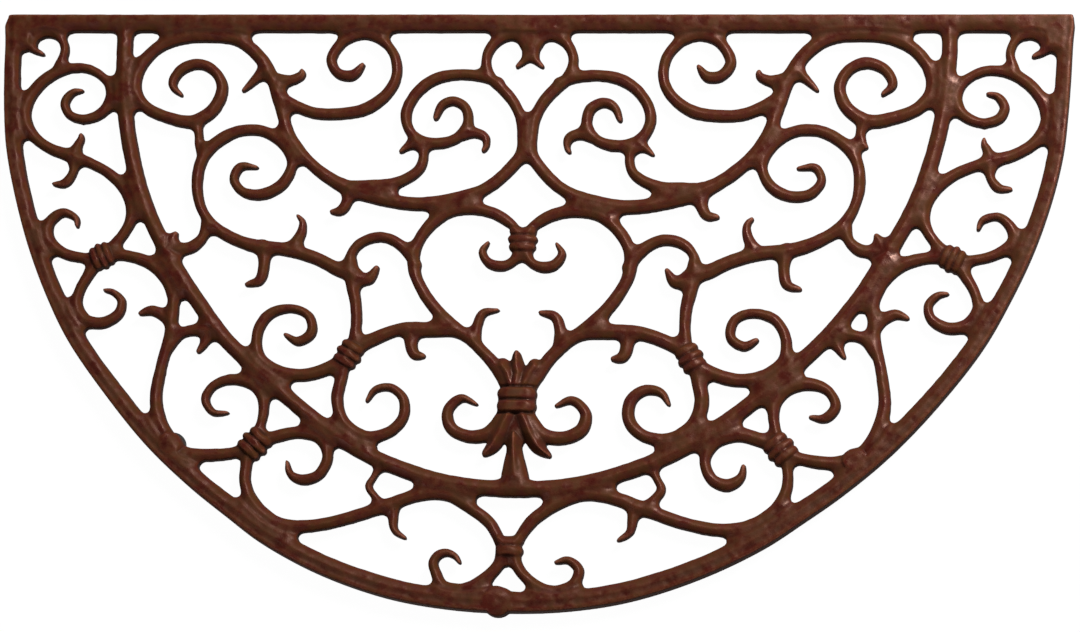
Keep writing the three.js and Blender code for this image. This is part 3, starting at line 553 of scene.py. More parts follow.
def window(axis, lowest, highest):
    """The slice of a grid axis that reaches from lowest to highest."""
    return slice(max(np.searchsorted(axis, lowest) - 1, 0), np.searchsorted(axis, highest) + 1)


def window_round(points, near, xs, ys):
    """The window of two grid axes that holds all of the points, and so much more on every side."""
    return (window(xs, points[:, 0].min() - near, points[:, 0].max() + near),
            window(ys, points[:, 1].min() - near, points[:, 1].max() + near))


def nearest(points, xs, ys):
    """Distance from each place of the window to the centre line, and the bar's width there. Each place
    is dropped square onto every piece of the line, and the nearest foot wins."""
    start, along = points[:-1, :2], np.diff(points[:, :2], axis=0)
    px = xs[:, None, None] - start[:, 0]
    py = ys[None, :, None] - start[:, 1]
    share = np.clip((px * along[:, 0] + py * along[:, 1]) / (along ** 2).sum(1), 0, 1)
    away = np.hypot(px - share * along[:, 0], py - share * along[:, 1])
    widths = points[:-1, 2] + share * np.diff(points[:, 2])
    best = (away - widths / 2).argmin(2)[..., None]
    return np.take_along_axis(away, best, 2)[..., 0], np.take_along_axis(widths, best, 2)[..., 0]


def plan_of(route, margin):
    """The window of the grid round a bar, and over it the distance to its centre line and its width."""
    points = smooth_route(route)
    near = points[:, 2].max() / 2 + margin
    place = window_round(points, near, grid_x, grid_y)
    xs, ys = grid_x[place[0]], grid_y[place[1]]
    away = np.full((len(xs), len(ys)), FAR)
    width = np.ones_like(away)
    for first in range(0, len(points) - 1, PIECES_AT_ONCE):
        part = points[first:first + PIECES_AT_ONCE + 1]
        some = window_round(part, near, xs, ys)
        part_away, part_width = nearest(part, xs[some[0]], ys[some[1]])
        closer = part_away - part_width / 2 < away[some] - width[some] / 2
        away[some] = np.where(closer, part_away, away[some])
        width[some] = np.where(closer, part_width, width[some])
    return place, away, width


def eased(share):
    """A share from 0 to 1 that starts and ends softly: three times its square, less twice its cube."""
    return share * share * (3 - 2 * share)


def blend(old, new, reach):
    """The nearer of two distances, less a fillet where they differ by less than the reach: the square of
    what is missing to the reach, over four times the reach. The fillet is full where the two slopes are
    opposite, so that the edges face each other, and nil where the slopes agree."""
    (old_x, old_y), (new_x, new_y) = np.gradient(old, GRID_MM), np.gradient(new, GRID_MM)
    facing = np.clip(np.hypot(old_x - new_x, old_y - new_y) / 2, 0, 1)
    close = np.clip(reach - np.abs(old - new), 0, None)
    return np.minimum(old, new) - facing * close ** 2 / (4 * reach)


def add_bar(route, thickness, reach=BLEND_MM):
    """Joins one bar to the maps. The crest passes over from one bar to the next within a short way."""
    place, away, width = plan_of(route, WINDOW_MARGIN * reach)
    new = away - width / 2
    share = np.clip((outline[place] - new) / (2 * MIX_MM) + 0.5, 0, 1)
    crest[place] += (thickness - crest[place]) * eased(share)
    outline[place] = blend(outline[place], new, reach)


print("fillets reach", BLEND_MM, "mm")

# %% [markdown]
# The frame of the mat: the rim, the inner arch and the straight back bar. The rim grows wider towards the
# front, and a soft groove runs all round its top. On the photographed mat the outer edge of the frame is a
# crisp one, with the crest close to it. So the rim and the back bar are drawn wider than they are, and a
# third map keeps how far each place lies beyond the edge where they are cut off.

# %% Rim, arch and back bar
RIM_THICKNESS = 10.0
ARCH_THICKNESS = 9.6
RIM_SIDE_WIDTH = 11.0
RIM_FRONT_WIDTH = 14.2
RIM_WIDENS_FROM_Y = 100
RIM_WIDENS_OVER = 305
ARCH_WIDTH = 11.3
BACK_BAR_WIDTH = 12.2
BACK_BAR_END_X = 380
RIM_OVERRUN = 2.0
BACK_OVERRUN = 1.5
GROOVE_ASIDE = 0.12
GROOVE_WIDTH = 5.0
GROOVE_DEPTH = 0.4
GROOVE_MARGIN = 1.0


def offset_route(route, aside):
    """The route moved sideways, by a distance for each place, along its own normal."""
    points = np.array(route, float)
    run = np.gradient(points[:, :2], axis=0)
    normal = np.stack([-run[:, 1], run[:, 0]], 1) / np.linalg.norm(run, axis=1, keepdims=True)
    points[:, :2] += normal * np.asarray(aside)[:, None]
    return points


def edge_distance(line, width, aside=0.0):
    """How far every place of the grid lies from the edge of a bar along the line, when the bar is moved
    sideways by a share of its width."""
    whole = np.full_like(outline, FAR)
    place, away, widths = plan_of(np.column_stack([offset_route(line, aside * width), width]), FAR)
    whole[place] = away - widths / 2
    return whole


def add_groove(route, depth):
    """Lowers the crest along a route, in a round hollow as wide as the route says."""
    place, away, width = plan_of(route, GROOVE_MARGIN)
    crest[place] -= depth * np.clip(1 - (2 * away / width) ** 2, 0, 1)


rim_line = RIM_ROUTE + mirrored(RIM_ROUTE[:-1])[::-1]
ease = np.clip((RIM_WIDENS_FROM_Y - np.array([y for _, y in rim_line])) / RIM_WIDENS_OVER, 0, 1)
rim_width = RIM_SIDE_WIDTH + (RIM_FRONT_WIDTH - RIM_SIDE_WIDTH) * eased(ease)
overrun_line = offset_route(rim_line, np.full(len(rim_line), RIM_OVERRUN))
add_bar(np.column_stack([overrun_line, rim_width + 2 * RIM_OVERRUN]), RIM_THICKNESS)
add_bar([(x, y, ARCH_WIDTH) for x, y in ARCH_ROUTE + LEFT_ARCH_ROUTE[::-1]], ARCH_THICKNESS)
back_y = BACK_EDGE_MM - BACK_BAR_WIDTH / 2 + BACK_OVERRUN
back_width = BACK_BAR_WIDTH + 2 * BACK_OVERRUN
add_bar([(end, back_y, back_width) for end in (-BACK_BAR_END_X, BACK_BAR_END_X)], RIM_THICKNESS)

# A place is on the outer side if it is nearer to the rim moved outwards than to the rim moved inwards
outer_side = edge_distance(rim_line, rim_width, 0.5) < edge_distance(rim_line, rim_width, -0.5)
beyond = np.where(outer_side, edge_distance(rim_line, rim_width), -FAR)
print("frame of the mat done")

# %% [markdown]
# The scrollwork. Each scroll and each leaf is joined with the same reach of blending, so a thorn grows out
# of its scroll and two scrolls that touch run together.

# %% Scrolls and leaves
LEAF_THICKNESS = 8.4

for routes, thickness in ((SCROLLS, SCROLL_THICKNESS), (LEAVES, LEAF_THICKNESS)):
    for name, route in routes.items():
        add_bar(route, thickness)
        add_bar(LEFT_ROUTES.get(name) or mirrored(route), thickness)
rim_groove = offset_route(rim_line, GROOVE_ASIDE * rim_width)
add_groove(np.column_stack([rim_groove, np.full(len(rim_line), GROOVE_WIDTH)]), GROOVE_DEPTH)
print("scrollwork done")

# %% [markdown]
# Inner corners. Iron shrinks and tears in a sharp inner corner, so the pattern maker rounds them all with
# the same small radius. A disc of that radius is rolled round inside each opening, and what the disc can't
# reach is filled with metal.

# %% Round inner corners
CORNER_RADIUS = 2.2
DIRECTIONS = 24
DISC_RINGS = (1 / 3, 2 / 3, 1)


def shifted_map(values, x, y):
    """The map moved by a distance that needn't be a whole number of grid steps: the four nearest places are
    mixed by their shares."""
    base_x, base_y = math.floor(x / GRID_MM), math.floor(y / GRID_MM)
    share_x, share_y = x / GRID_MM - base_x, y / GRID_MM - base_y
    mixed = np.zeros_like(values)
    for step_x, weight_x in ((0, 1 - share_x), (1, share_x)):
        for step_y, weight_y in ((0, 1 - share_y), (1, share_y)):
            moved = np.roll(values, (base_x + step_x, base_y + step_y), (0, 1))
            mixed += weight_x * weight_y * moved
    return mixed


def rolled_round(values, radius):
    """The largest distance to the metal within a disc of the radius, less the radius. Along a straight edge
    that gives the distance back as it was."""
    largest = values.copy()
    for angle in np.arange(DIRECTIONS) * 2 * math.pi / DIRECTIONS:
        for share in DISC_RINGS:
            x, y = radius * share * math.cos(angle), radius * share * math.sin(angle)
            largest = np.maximum(largest, shifted_map(values, x, y))
    return largest - radius


outline = rolled_round(outline, CORNER_RADIUS)
print("inner corners rounded to", CORNER_RADIUS, "mm")

# %% [markdown]
# How smooth each place is. Where scrolls cross, the iron keeps some of the valleys between them. The flat
# plates in the two back corners and the thick middle of the back bar have none. A fourth map keeps the share
# of this levelling, and the collars, the bosses and the sheaf add theirs below.

# %% Levelled places
LEVELLED_SHARE = 0.35
CORNER_PLATES_FROM_X = 338.0
MIDDLE_PLATE_TO_X = 20.0
PLATES_FROM_Y = 176.0
PLATE_FADE_MM = 6.0

aside = np.abs(grid_x)[:, None]
nearness = np.maximum(aside - CORNER_PLATES_FROM_X, MIDDLE_PLATE_TO_X - aside)
plates = np.clip(nearness / PLATE_FADE_MM, 0, 1) * np.clip((grid_y - PLATES_FROM_Y) / PLATE_FADE_MM, 0, 1)
levelled = np.maximum(LEVELLED_SHARE, plates)
print("share of the map that is level:", (levelled == 1).mean().round(3))

# %% [markdown]
# Beads and ridges. The collars seem to tie bars together, and the sheaf at the centre has fluted leaves.
# Each bead and each leaf lies over the bars with a crest of its own, and the higher one counts, which leaves
# a crisp line between two of them.

# %% Beads and ridges
RELIEF_BLEND_MM = 2.0
LEVELLED_POWER = 4
BARREL_SHARE = 0.1
BEAD_FULLNESS = 1.04
BEAD = {"thickness": 10.4, "base": 9.2, "power": 3.0}
BAND = {"thickness": 10.9, "base": 10.4, "power": 4.0}
RIDGE = {"thickness": 10.6, "base": 7.4, "power": 1.05}
FRONT_RIDGE = {"thickness": 10.9, "base": 9.2, "power": 1.05}


def add_relief(route, thickness, base, power):
    """A bead or a ridged leaf that lies over the bars. Its crest falls from the centre line to the edge: a
    power near 1 gives a sharp ridge, and a higher one a rounded back."""
    place, away, width = plan_of(route, WINDOW_MARGIN * RELIEF_BLEND_MM)
    share = np.clip(2 * away / width, 0, 1)
    top = base + (thickness - base) * (1 - share ** power) ** (1 / power)
    crest[place] = np.where(share < 1, np.maximum(crest[place], top), crest[place])
    levelled[place] = np.maximum(levelled[place], 1 - share ** LEVELLED_POWER)
    outline[place] = blend(outline[place], away - width / 2, RELIEF_BLEND_MM)


def add_collar(at, along, length, beads, pitch, side=1, section=BEAD):
    """Parallel beads across the bars, each a short straight bar with round ends. The outer beads of three
    are a little shorter, so that the collar has the outline of a barrel."""
    ahead = np.array([math.cos(math.radians(along)), math.sin(math.radians(along))])
    across = np.array([-ahead[1], ahead[0]])
    for step in np.arange(beads) - (beads - 1) / 2:
        centre = np.array(at) + across * step * pitch
        half = (length * (1 - BARREL_SHARE * step ** 2) - pitch) / 2
        ends = [(*(centre + sign * ahead * half), BEAD_FULLNESS * pitch) for sign in (-1, 1)]
        add_relief(ends if side == 1 else mirrored(ends), **section)


print("beads are", BEAD["thickness"], "mm thick, and ridges", RIDGE["thickness"], "mm")

# %% [markdown]
# What lies over the bars: small webs that fill the back corners, the round bosses that show at the rim over
# three of the feet, then the sheaf with its stem, and the collars. The sheaf's own collar comes after its
# leaves, because it's wrapped round them.

# %% Webs, bosses, sheaf and collars
CORNER_WEB = [(352, 186, 14), (354, 192, 16)]
CORNER_WEB_THICKNESS = 9.8
BOSSES = {"foot_front": 10.5, "foot_left": 8.0, "foot_right": 8.0}
BOSS_BLEND_MM = 9.0
BOSS_FADE_MM = 2.0
STEM_BLEND_MM = 9.0
COLLAR_LINE_DEPTH = 1.6
FEET = {
    "foot_front": (-6.3, -198),
    "foot_left": (-233, -94.5),
    "foot_right": (227.3, -99.5),
    "foot_back_left": (-354, 190),
    "foot_back_right": (354, 190),
    "foot_back_middle": (0, 191),
}


def around(x, y, radius):
    """The window of the maps that holds a circle, and the distance from its middle to each place there."""
    place = (window(grid_x, x - radius, x + radius), window(grid_y, y - radius, y + radius))
    return place, np.hypot(grid_x[place[0]][:, None] - x, grid_y[place[1]][None, :] - y)


def add_boss(x, y, radius):
    """The round thickening over a foot: the distance to its middle, less its radius."""
    place, away = around(x, y, radius + WINDOW_MARGIN * BOSS_BLEND_MM)
    wall = away - radius
    crest[place] = np.where(wall < 0, RIM_THICKNESS, crest[place])
    levelled[place] = np.maximum(levelled[place], np.clip(-wall / BOSS_FADE_MM, 0, 1))
    outline[place] = blend(outline[place], wall, BOSS_BLEND_MM)
    beyond[place] = np.minimum(beyond[place], wall)


for side in (1, -1):
    add_bar([(side * x, y, width) for x, y, width in CORNER_WEB], CORNER_WEB_THICKNESS)
for node, radius in BOSSES.items():
    add_boss(*FEET[node], radius)
add_bar(SHEAF_BODY, RIDGE["base"])
add_bar(STEM_FOOT, ARCH_THICKNESS, STEM_BLEND_MM)
for leaf in (*SHEAF_LEAVES, STEM):
    add_relief(leaf, **RIDGE)
add_relief(SHEAF_FRONT_LEAF, **FRONT_RIDGE)
add_bar(SHEAF_COLLAR_CORE, BAND["base"])
add_collar(**SHEAF_COLLAR, section=BAND)
for line in SHEAF_COLLAR_LINES:
    add_groove(line, COLLAR_LINE_DEPTH)
for collar in COLLARS:
    add_collar(**collar)
    add_collar(**collar, side=-1)
for collar in CENTRE_COLLARS:
    add_collar(**collar)
print("webs, bosses, sheaf and collars done")

# %% [markdown]
# Where bars cross, each bar's own distance leaves a deep valley between them, but on the real casting it's a
# shallow one, and collars and bosses have none. So the distance inside the metal is measured afresh, to the
# nearest place outside all of the bars, and mixed with the bars' own by the share that was kept for it.

# %% Smooth junctions
DEEPEST_MM = 8.0


def measured_inside(values):
    """Inside the metal, the distance to the outline below zero. It is the least way to a place just
    outside, less how far that place lies outside, over all such places within reach."""
    reach = int(DEEPEST_MM / GRID_MM)
    outside = np.where((values > 0) & (values < 2 * GRID_MM), values, -FAR)
    inside = np.full_like(values, -DEEPEST_MM)
    for step_x in range(-reach, reach + 1):
        for step_y in range(-reach, reach + 1):
            way = GRID_MM * math.hypot(step_x, step_y)
            if way <= DEEPEST_MM:
                inside = np.maximum(inside, np.roll(outside, (step_x, step_y), (0, 1)) - way)
    return np.where(values > 0, values, inside)


outline += levelled * (measured_inside(outline) - outline)
print("deepest place lies", -outline.min().round(1), "mm inside the outline")

# %% [markdown]
# The outer corners of the mat are square: the back bar and the rim run on past each other and are cut off
# along straight lines. At the left corner the line slants, as it does on the photographed mat. Each line
# runs so that the metal lies on its right.

# %% Square corners
CUTS = [
    ((-400, BACK_EDGE_MM), (400, BACK_EDGE_MM)),
    ((366, BACK_EDGE_MM), (368, 189)),
    ((-367.4, 191), (-363.4, BACK_EDGE_MM)),
]

for (x, y), end in CUTS:
    run_x, run_y = end[0] - x, end[1] - y
    left_of_line = ((grid_y - y) * run_x - (grid_x[:, None] - x) * run_y) / math.hypot(run_x, run_y)
    beyond = np.maximum(beyond, left_of_line)
print(len(CUTS), "edges cut straight")

# %% [markdown]
# No pattern is dead straight after years of moulding, and sand gives way a little. A slow random swelling
# of the outline and of the crest, in long waves and in short ones, takes the machine look off the bars. All
# edges also move in by a fifth of a millimetre, by which the rounded flanks look wider than the lists say.

# %% Hand-made waviness
OUTLINE_WAVES_MM = ((12.0, 0.16), (3.4, 0.12))
CREST_WAVES_MM = ((9.0, 0.25), (3.6, 0.2))
SLIMMER_MM = 0.22
SPARE_CELLS = 3
random = np.random.default_rng(7)


def slow_noise(length):
    """Random heights on a coarse grid, with a smooth blend of the four round each place of the fine one."""
    cells = [int(len(axis) * GRID_MM / length) + SPARE_CELLS for axis in (grid_x, grid_y)]
    coarse = random.uniform(-1, 1, cells)
    parts = []
    for axis in (grid_x, grid_y):
        place = (axis - axis[0]) / length
        base = place.astype(int)
        parts.append((base, eased(place - base)))
    (ix, sx), (iy, sy) = parts
    sx, sy = sx[:, None], sy[None, :]
    near, far = [coarse[np.ix_(ix, row)] * (1 - sx) + coarse[np.ix_(ix + 1, row)] * sx
                 for row in (iy, iy + 1)]
    return near * (1 - sy) + far * sy


outline += SLIMMER_MM + sum(height * slow_noise(length) for length, height in OUTLINE_WAVES_MM)
crest += sum(height * slow_noise(length) for length, height in CREST_WAVES_MM)
print("crest between", crest.min().round(1), "and", crest.max().round(1), "mm")

# %% [markdown]
# From the maps to a solid. The walls lean in a little towards the top, so that the pattern can be pulled
# out of the sand. Above the shoulder they slope up to the crest, over the same reach everywhere, so that a
# slim bar gets a soft ridge, a wide one a flat top and the narrow tip of a curl a low one. The underside is
# flat, and over each foot it has the blind socket that holds the foot's plug. The result is one value for
# every point of a grid in space: under zero in the metal, over zero outside.

# %% Solid from the maps
EDGE_MM = 6.0
DRAFT = 0.06
SHOULDER_SHARE = 0.66
SECTION_POWER = 1.4
CUT_EDGE_ROUNDING = 1.0
PLUG_RADIUS = 3.5
PLUG_LENGTH = 5.0
FIT_CLEARANCE = 0.3

grid_z = np.arange(UNDERSIDE_MM - MARGIN_MM, UNDERSIDE_MM + crest.max() + MARGIN_MM, GRID_MM)
height = grid_z - UNDERSIDE_MM


def solid_field():
    """Both the share of the way out to the edge and the share of the way up from the shoulder to the crest
    are raised to the power, added and rooted, and 1 is taken away. The cut edges are joined to that with a
    small round."""
    out = np.clip(1 + (outline[..., None] + DRAFT * height) / EDGE_MM, 0, None)
    shoulder = SHOULDER_SHARE * crest[..., None]
    up = np.clip(height - shoulder, 0, None) / (crest[..., None] - shoulder)
    relief = ((out ** SECTION_POWER + up ** SECTION_POWER) ** (1 / SECTION_POWER) - 1) * EDGE_MM
    cut = beyond[..., None] + DRAFT * height
    close = np.clip(CUT_EDGE_ROUNDING - np.abs(relief - cut), 0, None)
    return np.maximum(relief, cut) + close ** 2 / (4 * CUT_EDGE_ROUNDING)


field = np.maximum(solid_field(), -height).astype(np.float32)
roof = height - PLUG_LENGTH - FIT_CLEARANCE
for x, y in FEET.values():
    place, away = around(x, y, 2 * PLUG_RADIUS)
    wall = away[..., None] - PLUG_RADIUS - FIT_CLEARANCE
    field[place] = np.maximum(field[place], -np.maximum(wall, roof))
print("share of the grid inside the metal:", round(float((field < 0).mean()), 4))

# %% [markdown]
# The surface is drawn where the field is zero. Four-sided faces come out, one for each place where the
# surface passes between two grid points. One mesh of the whole casting would have too many faces to
# handle, so it is cut across into strips. The cuts run through the same points on both sides and are
# closed with flat ends, so they don't show. Each point also keeps two values that the paint reads: how much
# metal is round it, and how level the surface is there.

# %% Surface of the casting, in strips
STRIPS = 8
HOLLOW_REACH_MM = 2.4


def surface_of(values):
    """The zero surface of the field: its points in grid steps, and its four-sided faces."""
    grid = openvdb.FloatGrid(FAR)
    grid.copyFromArray(values)
    grid.transform = openvdb.createLinearTransform(voxelSize=1.0)
    points, _, faces = grid.convertToPolygons(isovalue=0.0, adaptivity=0.0)
    return points, faces


def to_frame(points):
    """Grid steps into metres in the frame."""
    start = np.array([grid_x[0], grid_y[0] + PATTERN_TO_FRAME_Y, grid_z[0]])
    return (points * GRID_MM + start) * MM


def blurred(values, reach):
    """The mean of the values over a cube that reaches so many steps each way, one axis after another:
    each mean is the difference of two running sums."""
    for axis in range(3):
        padded = np.pad(values, [(reach + 1, reach) if i == axis else (0, 0) for i in range(3)], "edge")
        sums = np.cumsum(padded, axis, dtype=np.float32)
        steps = 2 * reach + 1
        ahead = np.take(sums, range(steps, sums.shape[axis]), axis)
        behind = np.take(sums, range(sums.shape[axis] - steps), axis)
        values = (ahead - behind) / steps
    return values


def at_points(values, points):
    """The values between grid places: the eight corners round each point, weighted by nearness."""
    base = np.floor(points).astype(int)
    share = points - base
    total = 0
    for corner in np.ndindex(2, 2, 2):
        weight = np.abs(1 - np.array(corner) - share).prod(1)
        total = total + weight * values[tuple((base + corner).T)]
    return total


def outward(points):
    """The direction in which the field grows, for each point."""
    slopes = np.stack([at_points(slope, points) for slope in np.gradient(field)], 1)
    return slopes / np.linalg.norm(slopes, axis=1, keepdims=True)


def close_ends(mesh):
    """Fills the open loops at the ends of a strip with flat faces that point outwards: a face is turned
    round where it runs along its edge the same way as its neighbour."""
    shell = bmesh.new()
    shell.from_mesh(mesh)
    ends = bmesh.ops.holes_fill(shell, edges=[edge for edge in shell.edges if edge.is_boundary])["faces"]
    for end in ends:
        corner = end.loops[0]
        if corner.link_loop_radial_next.vert == corner.vert:
            end.normal_flip()
    bmesh.ops.triangulate(shell, faces=ends)
    shell.to_mesh(mesh)
    shell.free()


def strip_mesh(name, places, normals, hollows, faces):
    """One strip as a closed mesh. The curved faces take their shading from the field, so no line shows
    where two strips meet."""
    used, faces = np.unique(faces, return_inverse=True)
    faces = faces.reshape(-1, 4)
    mesh = bpy.data.meshes.new(name)
    mesh.from_pydata(places[used], [], faces)
    close_ends(mesh)
    sizes, owners = np.zeros(len(mesh.polygons), int), np.zeros(len(mesh.loops), int)
    mesh.polygons.foreach_get("loop_total", sizes)
    mesh.loops.foreach_get("vertex_index", owners)
    shading = normals[used][owners]
    shading[sizes[:len(faces)].sum():] = 0
    mesh.shade_smooth()
    mesh.normals_split_custom_set(shading)
    for label, values in (("hollow", hollows), ("level", normals[:, 2])):
        attribute = mesh.attributes.new(label, "FLOAT", "POINT")
        attribute.data.foreach_set("value", values[used].astype(np.float32))
    return mesh


def casting_strips():
    """The casting's surface, cut across at equal counts of faces."""
    points, faces = surface_of(field)
    places, normals = to_frame(points), outward(points)
    reach = max(round(HOLLOW_REACH_MM / GRID_MM), 1)
    hollows = at_points(blurred((field < 0).astype(np.float32), reach), points)
    column = np.floor(points[faces, 0].min(1))
    bounds = np.quantile(column, np.linspace(0, 1, STRIPS + 1)).round()
    bounds[-1] += 1
    for index in range(STRIPS):
        inside = (column >= bounds[index]) & (column < bounds[index + 1])
        yield strip_mesh(f"cast_iron_{index + 1}", places, normals, hollows, faces[inside])


print("the casting comes in", STRIPS, "strips")

# %% [markdown]
# The finish. The iron is painted rust brown with a semi-gloss paint, over the grainy skin that the sand
# mould leaves. Paint isn't metallic: it shows its own brown, and only a clean and level place of it shines.
# So the highlights are warm, and broken up where the weather has dulled the paint in patches. The steep
# sides are dull, and their colour is darkened as painted shade. In the hollows between bars the colour
# darkens too, for dirt and painted shade, and on the crests it is paler, for wear and a painted highlight.
# The grain of the sand is about a third of a millimetre, too fine to show at this distance, so it's drawn
# coarser.

# %% Painted cast iron
SAND_GRAIN_MM = 1.3
GRAIN_HEIGHT_MM = 0.3
PATCH_MM = 9.0
# The deep brown is both dirt and painted shade, and the pale pinkish brown is both wear and a painted
# highlight.
PAINT = {"oxblood": "#44150e", "body": "#481d08", "olive": "#432206", "deep": "#1a0602", "wear_and_highlight": "#8e5641"}
TINT_ENDS = {"oxblood": 0.36, "olive": 0.64}
TINT_MIDDLE = 0.5
SHINE_TINT = "#ffcdb9"
SHINE_LEVEL = 0.42
GRAIN_IN_WEAR_AND_HIGHLIGHT = 0.25
# Each effect follows a value, from one reading of it to another, and has a strength at both
RANGE = ("From_Min", "From_Max", "To_Min", "To_Max")
# Darker where much metal lies round a place: dirt in the hollows, and painted shade there as well.
DIRT_AND_SHADE_IN_HOLLOWS = dict(zip(RANGE, (0.42, 0.62, 0.0, 0.8)))
# Paler on the crests: wear, and a painted highlight along them, broken up by the grain.
WEAR_AND_HIGHLIGHT_ON_CRESTS = dict(zip(RANGE, (0.5, 0.34, 0.0, 0.45)))
# Darker on the steep sides: painted shade.
SHADE_ON_SIDES = dict(zip(RANGE, (0.1, 0.75, 0.9, 0.0)))
SHINE_IN_PATCHES = dict(zip(RANGE, (0.3, 0.7, 1.0, 0.3)))
SHINE_ON_TOPS = dict(zip(RANGE, (0.84, 0.95, 0.0, 1.0)))
ROUGHNESS = dict(zip(RANGE, (0.0, 1.0, 0.95, 0.25)))


def painted_cast_iron():
    """Rust-brown semi-gloss paint on sand-cast iron. Its colour is patches of three browns, and over them
    dirt and painted shade in the hollows, wear and a painted highlight on the crests, and painted shade on
    the steep sides. Its shine is the product of the patches' and the tops' share."""
    material, tree = new_material("rust_brown_painted_cast_iron")
    place = add_node(tree, "TexCoord").outputs["Object"]
    patches, grain = [
        add_node(tree, "TexNoise", Vector=place, Scale=1 / (size * MM), Detail=detail,
                 Roughness=0.6).outputs["Fac"]
        for size, detail in ((PATCH_MM, 3.0), (SAND_GRAIN_MM, 2.0))
    ]
    hollow, level = [add_node(tree, "Attribute", {"attribute_name": name}).outputs["Fac"]
                     for name in ("hollow", "level")]
    tint = add_node(tree, "ValToRGB", _0=patches)
    for stop, (colour, position) in zip(tint.color_ramp.elements, TINT_ENDS.items()):
        stop.position = position
        stop.color = to_linear(PAINT[colour])
    tint.color_ramp.elements.new(TINT_MIDDLE).color = to_linear(PAINT["body"])

    # The crests' share of wear and painted highlight, broken up by the grain.
    wear_and_highlight_mask = add_node(tree, "Math", {"operation": "MULTIPLY_ADD"}, _0=grain, _1=GRAIN_IN_WEAR_AND_HIGHLIGHT,
                      _2=hollow)
    # Dirt and painted shade in the hollows, wear and a painted highlight on the crests, and painted shade on
    # the steep sides.
    layers = ((DIRT_AND_SHADE_IN_HOLLOWS, hollow, "deep"), (WEAR_AND_HIGHLIGHT_ON_CRESTS, wear_and_highlight_mask.outputs[0], "wear_and_highlight"),
              (SHADE_ON_SIDES, level, "deep"))
    colour = tint.outputs["Color"]
    for effect, value, paint in layers:
        share = add_node(tree, "MapRange", Value=value, **effect)
        layer = add_node(tree, "Mix", {"data_type": "RGBA"}, _0=share.outputs[0], _6=colour,
                         _7=to_linear(PAINT[paint]))
        colour = layer.outputs[2]

    gloss = add_node(tree, "MapRange", Value=patches, **SHINE_IN_PATCHES)
    clear = add_node(tree, "MapRange", Value=level, **SHINE_ON_TOPS)
    shine = add_node(tree, "Math", {"operation": "MULTIPLY"}, _0=gloss.outputs[0],
                     _1=clear.outputs[0])
    roughness = add_node(tree, "MapRange", Value=shine.outputs[0], **ROUGHNESS)
    bump = add_node(tree, "Bump", Strength=0.35, Distance=GRAIN_HEIGHT_MM * MM, Height=grain)
    skin = add_node(tree, "BsdfPrincipled", Base_Color=colour, Roughness=roughness.outputs[0],
                    Normal=bump.outputs[0], Specular_IOR_Level=SHINE_LEVEL,
                    Specular_Tint=to_linear(SHINE_TINT))
    add_node(tree, "OutputMaterial", Surface=skin.outputs[0])
    return material


cast_iron = painted_cast_iron()
for mesh in casting_strips():
    mesh.materials.append(cast_iron)
    strip = add_object(mesh.name, mesh)
    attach(strip, "root")
    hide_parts("cast_grille")
    print(strip.name, len(mesh.polygons), "faces")

# %% [markdown]
# The feet are moulded rubber buttons, pushed into the sockets by their plugs. Each is a turned shape: a
# profile of radius and height, carried once round the axis. The bottom has a shallow dish, as a moulded
# button has, so that it grips on its outer ring.

# %% Shape of the rubber feet
FOOT_RADIUS = 9.0
DISH_DEPTH = 0.7
DISH = [(0, DISH_DEPTH), (4.6, DISH_DEPTH), (5.3, 0.45), (5.9, 0.1), (6.6, 0)]
RING_ROUND = 1.4
RING_POINTS = 7
WALL_TOP_ROUND = [(0, -0.5), (-0.15, -0.15), (-0.5, 0)]
PLUG_BEVEL = 0.6
TURNS = 48
CREASE_DEG = 40


def foot_profile():
    """Radius and height from the middle of the bottom, over the ring, up the wall and the plug, to the
    middle of the plug's end. The ring's outer edge is a quarter round."""
    quarter = np.linspace(0, math.pi / 2, RING_POINTS)
    ring = np.stack([FOOT_RADIUS - RING_ROUND + RING_ROUND * np.sin(quarter),
                     RING_ROUND - RING_ROUND * np.cos(quarter)], 1)
    wall_top = UNDERSIDE_MM - FIT_CLEARANCE
    shoulder = [(FOOT_RADIUS + aside, wall_top + up) for aside, up in WALL_TOP_ROUND]
    plug_top = UNDERSIDE_MM + PLUG_LENGTH
    plug = [(PLUG_RADIUS, wall_top), (PLUG_RADIUS, plug_top - PLUG_BEVEL),
            (PLUG_RADIUS - PLUG_BEVEL, plug_top), (0, plug_top)]
    return np.vstack([DISH, ring, shoulder, plug])


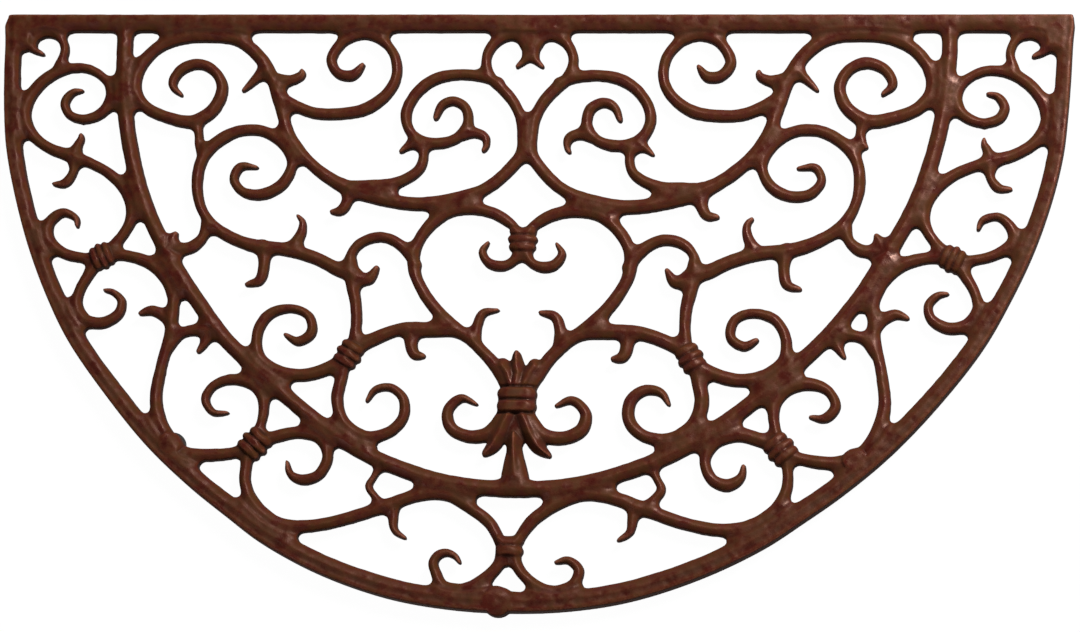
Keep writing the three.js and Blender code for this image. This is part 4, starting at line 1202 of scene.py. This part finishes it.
def turned(name, profile, x, y):
    """The profile carried round: each point goes round a circle of its own radius. The first and the last
    point lie on the axis and close the two ends with triangles."""
    angle = np.arange(TURNS) * 2 * math.pi / TURNS
    inner = profile[1:-1]
    rings = np.stack([x + inner[:, :1] * np.cos(angle), y + inner[:, :1] * np.sin(angle),
                      np.repeat(inner[:, 1:], TURNS, 1)], 2).reshape(-1, 3)
    ends = [(x, y, profile[0, 1]), (x, y, profile[-1, 1])]
    rows = np.arange(len(inner) * TURNS).reshape(-1, TURNS)
    beside = np.roll(rows, -1, 1)
    quads = np.stack([rows[:-1], beside[:-1], beside[1:], rows[1:]], 2).reshape(-1, 4)
    bottom, top = rows.size, rows.size + 1
    caps = [(bottom, b, a) for a, b in zip(rows[0], beside[0])]
    caps += [(top, a, b) for a, b in zip(rows[-1], beside[-1])]
    mesh = bpy.data.meshes.new(name)
    mesh.from_pydata(np.vstack([rings, ends]) * MM, [], quads.tolist() + caps)
    mesh.shade_smooth()
    mesh.set_sharp_from_angle(angle=math.radians(CREASE_DEG))
    return mesh


print("foot profile has", len(foot_profile()), "points")

# %% [markdown]
# The feet's rubber is black, matt and a little pale in patches, where its waxes come to the surface. The
# mould was blasted with grit, which leaves a fine even grain.

# %% Moulded rubber
RUBBER = ("#151413", "#2a2826")
BLOOM_MM = 4
MOULD_GRAIN_MM = 0.6
MOULD_GRAIN_HEIGHT_MM = 0.1


def moulded_rubber():
    """Black rubber from a mould: matt, very dark grey, with a faint bloom in patches."""
    material, tree = new_material("black_moulded_rubber")
    place = add_node(tree, "TexCoord").outputs["Object"]
    bloom = add_node(tree, "TexNoise", Vector=place, Scale=1 / (BLOOM_MM * MM), Detail=4.0)
    tint = add_node(tree, "ValToRGB", _0=bloom.outputs["Fac"])
    for stop, colour in zip(tint.color_ramp.elements, RUBBER):
        stop.color = to_linear(colour)
    grain = add_node(tree, "TexNoise", Vector=place, Scale=1 / (MOULD_GRAIN_MM * MM), Detail=1.0)
    bump = add_node(tree, "Bump", Strength=0.2, Distance=MOULD_GRAIN_HEIGHT_MM * MM,
                    Height=grain.outputs["Fac"])
    skin = add_node(tree, "BsdfPrincipled", Base_Color=tint.outputs["Color"], Roughness=0.8,
                    Normal=bump.outputs[0])
    add_node(tree, "OutputMaterial", Surface=skin.outputs[0])
    return material


rubber = moulded_rubber()
for node, (x, y) in FEET.items():
    mesh = turned(f"rubber_{node}", foot_profile(), x, y + PATTERN_TO_FRAME_Y)
    mesh.materials.append(rubber)
    button = add_object(mesh.name, mesh)
    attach(button, "root")
    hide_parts(node)
print(len(FEET), "rubber feet")
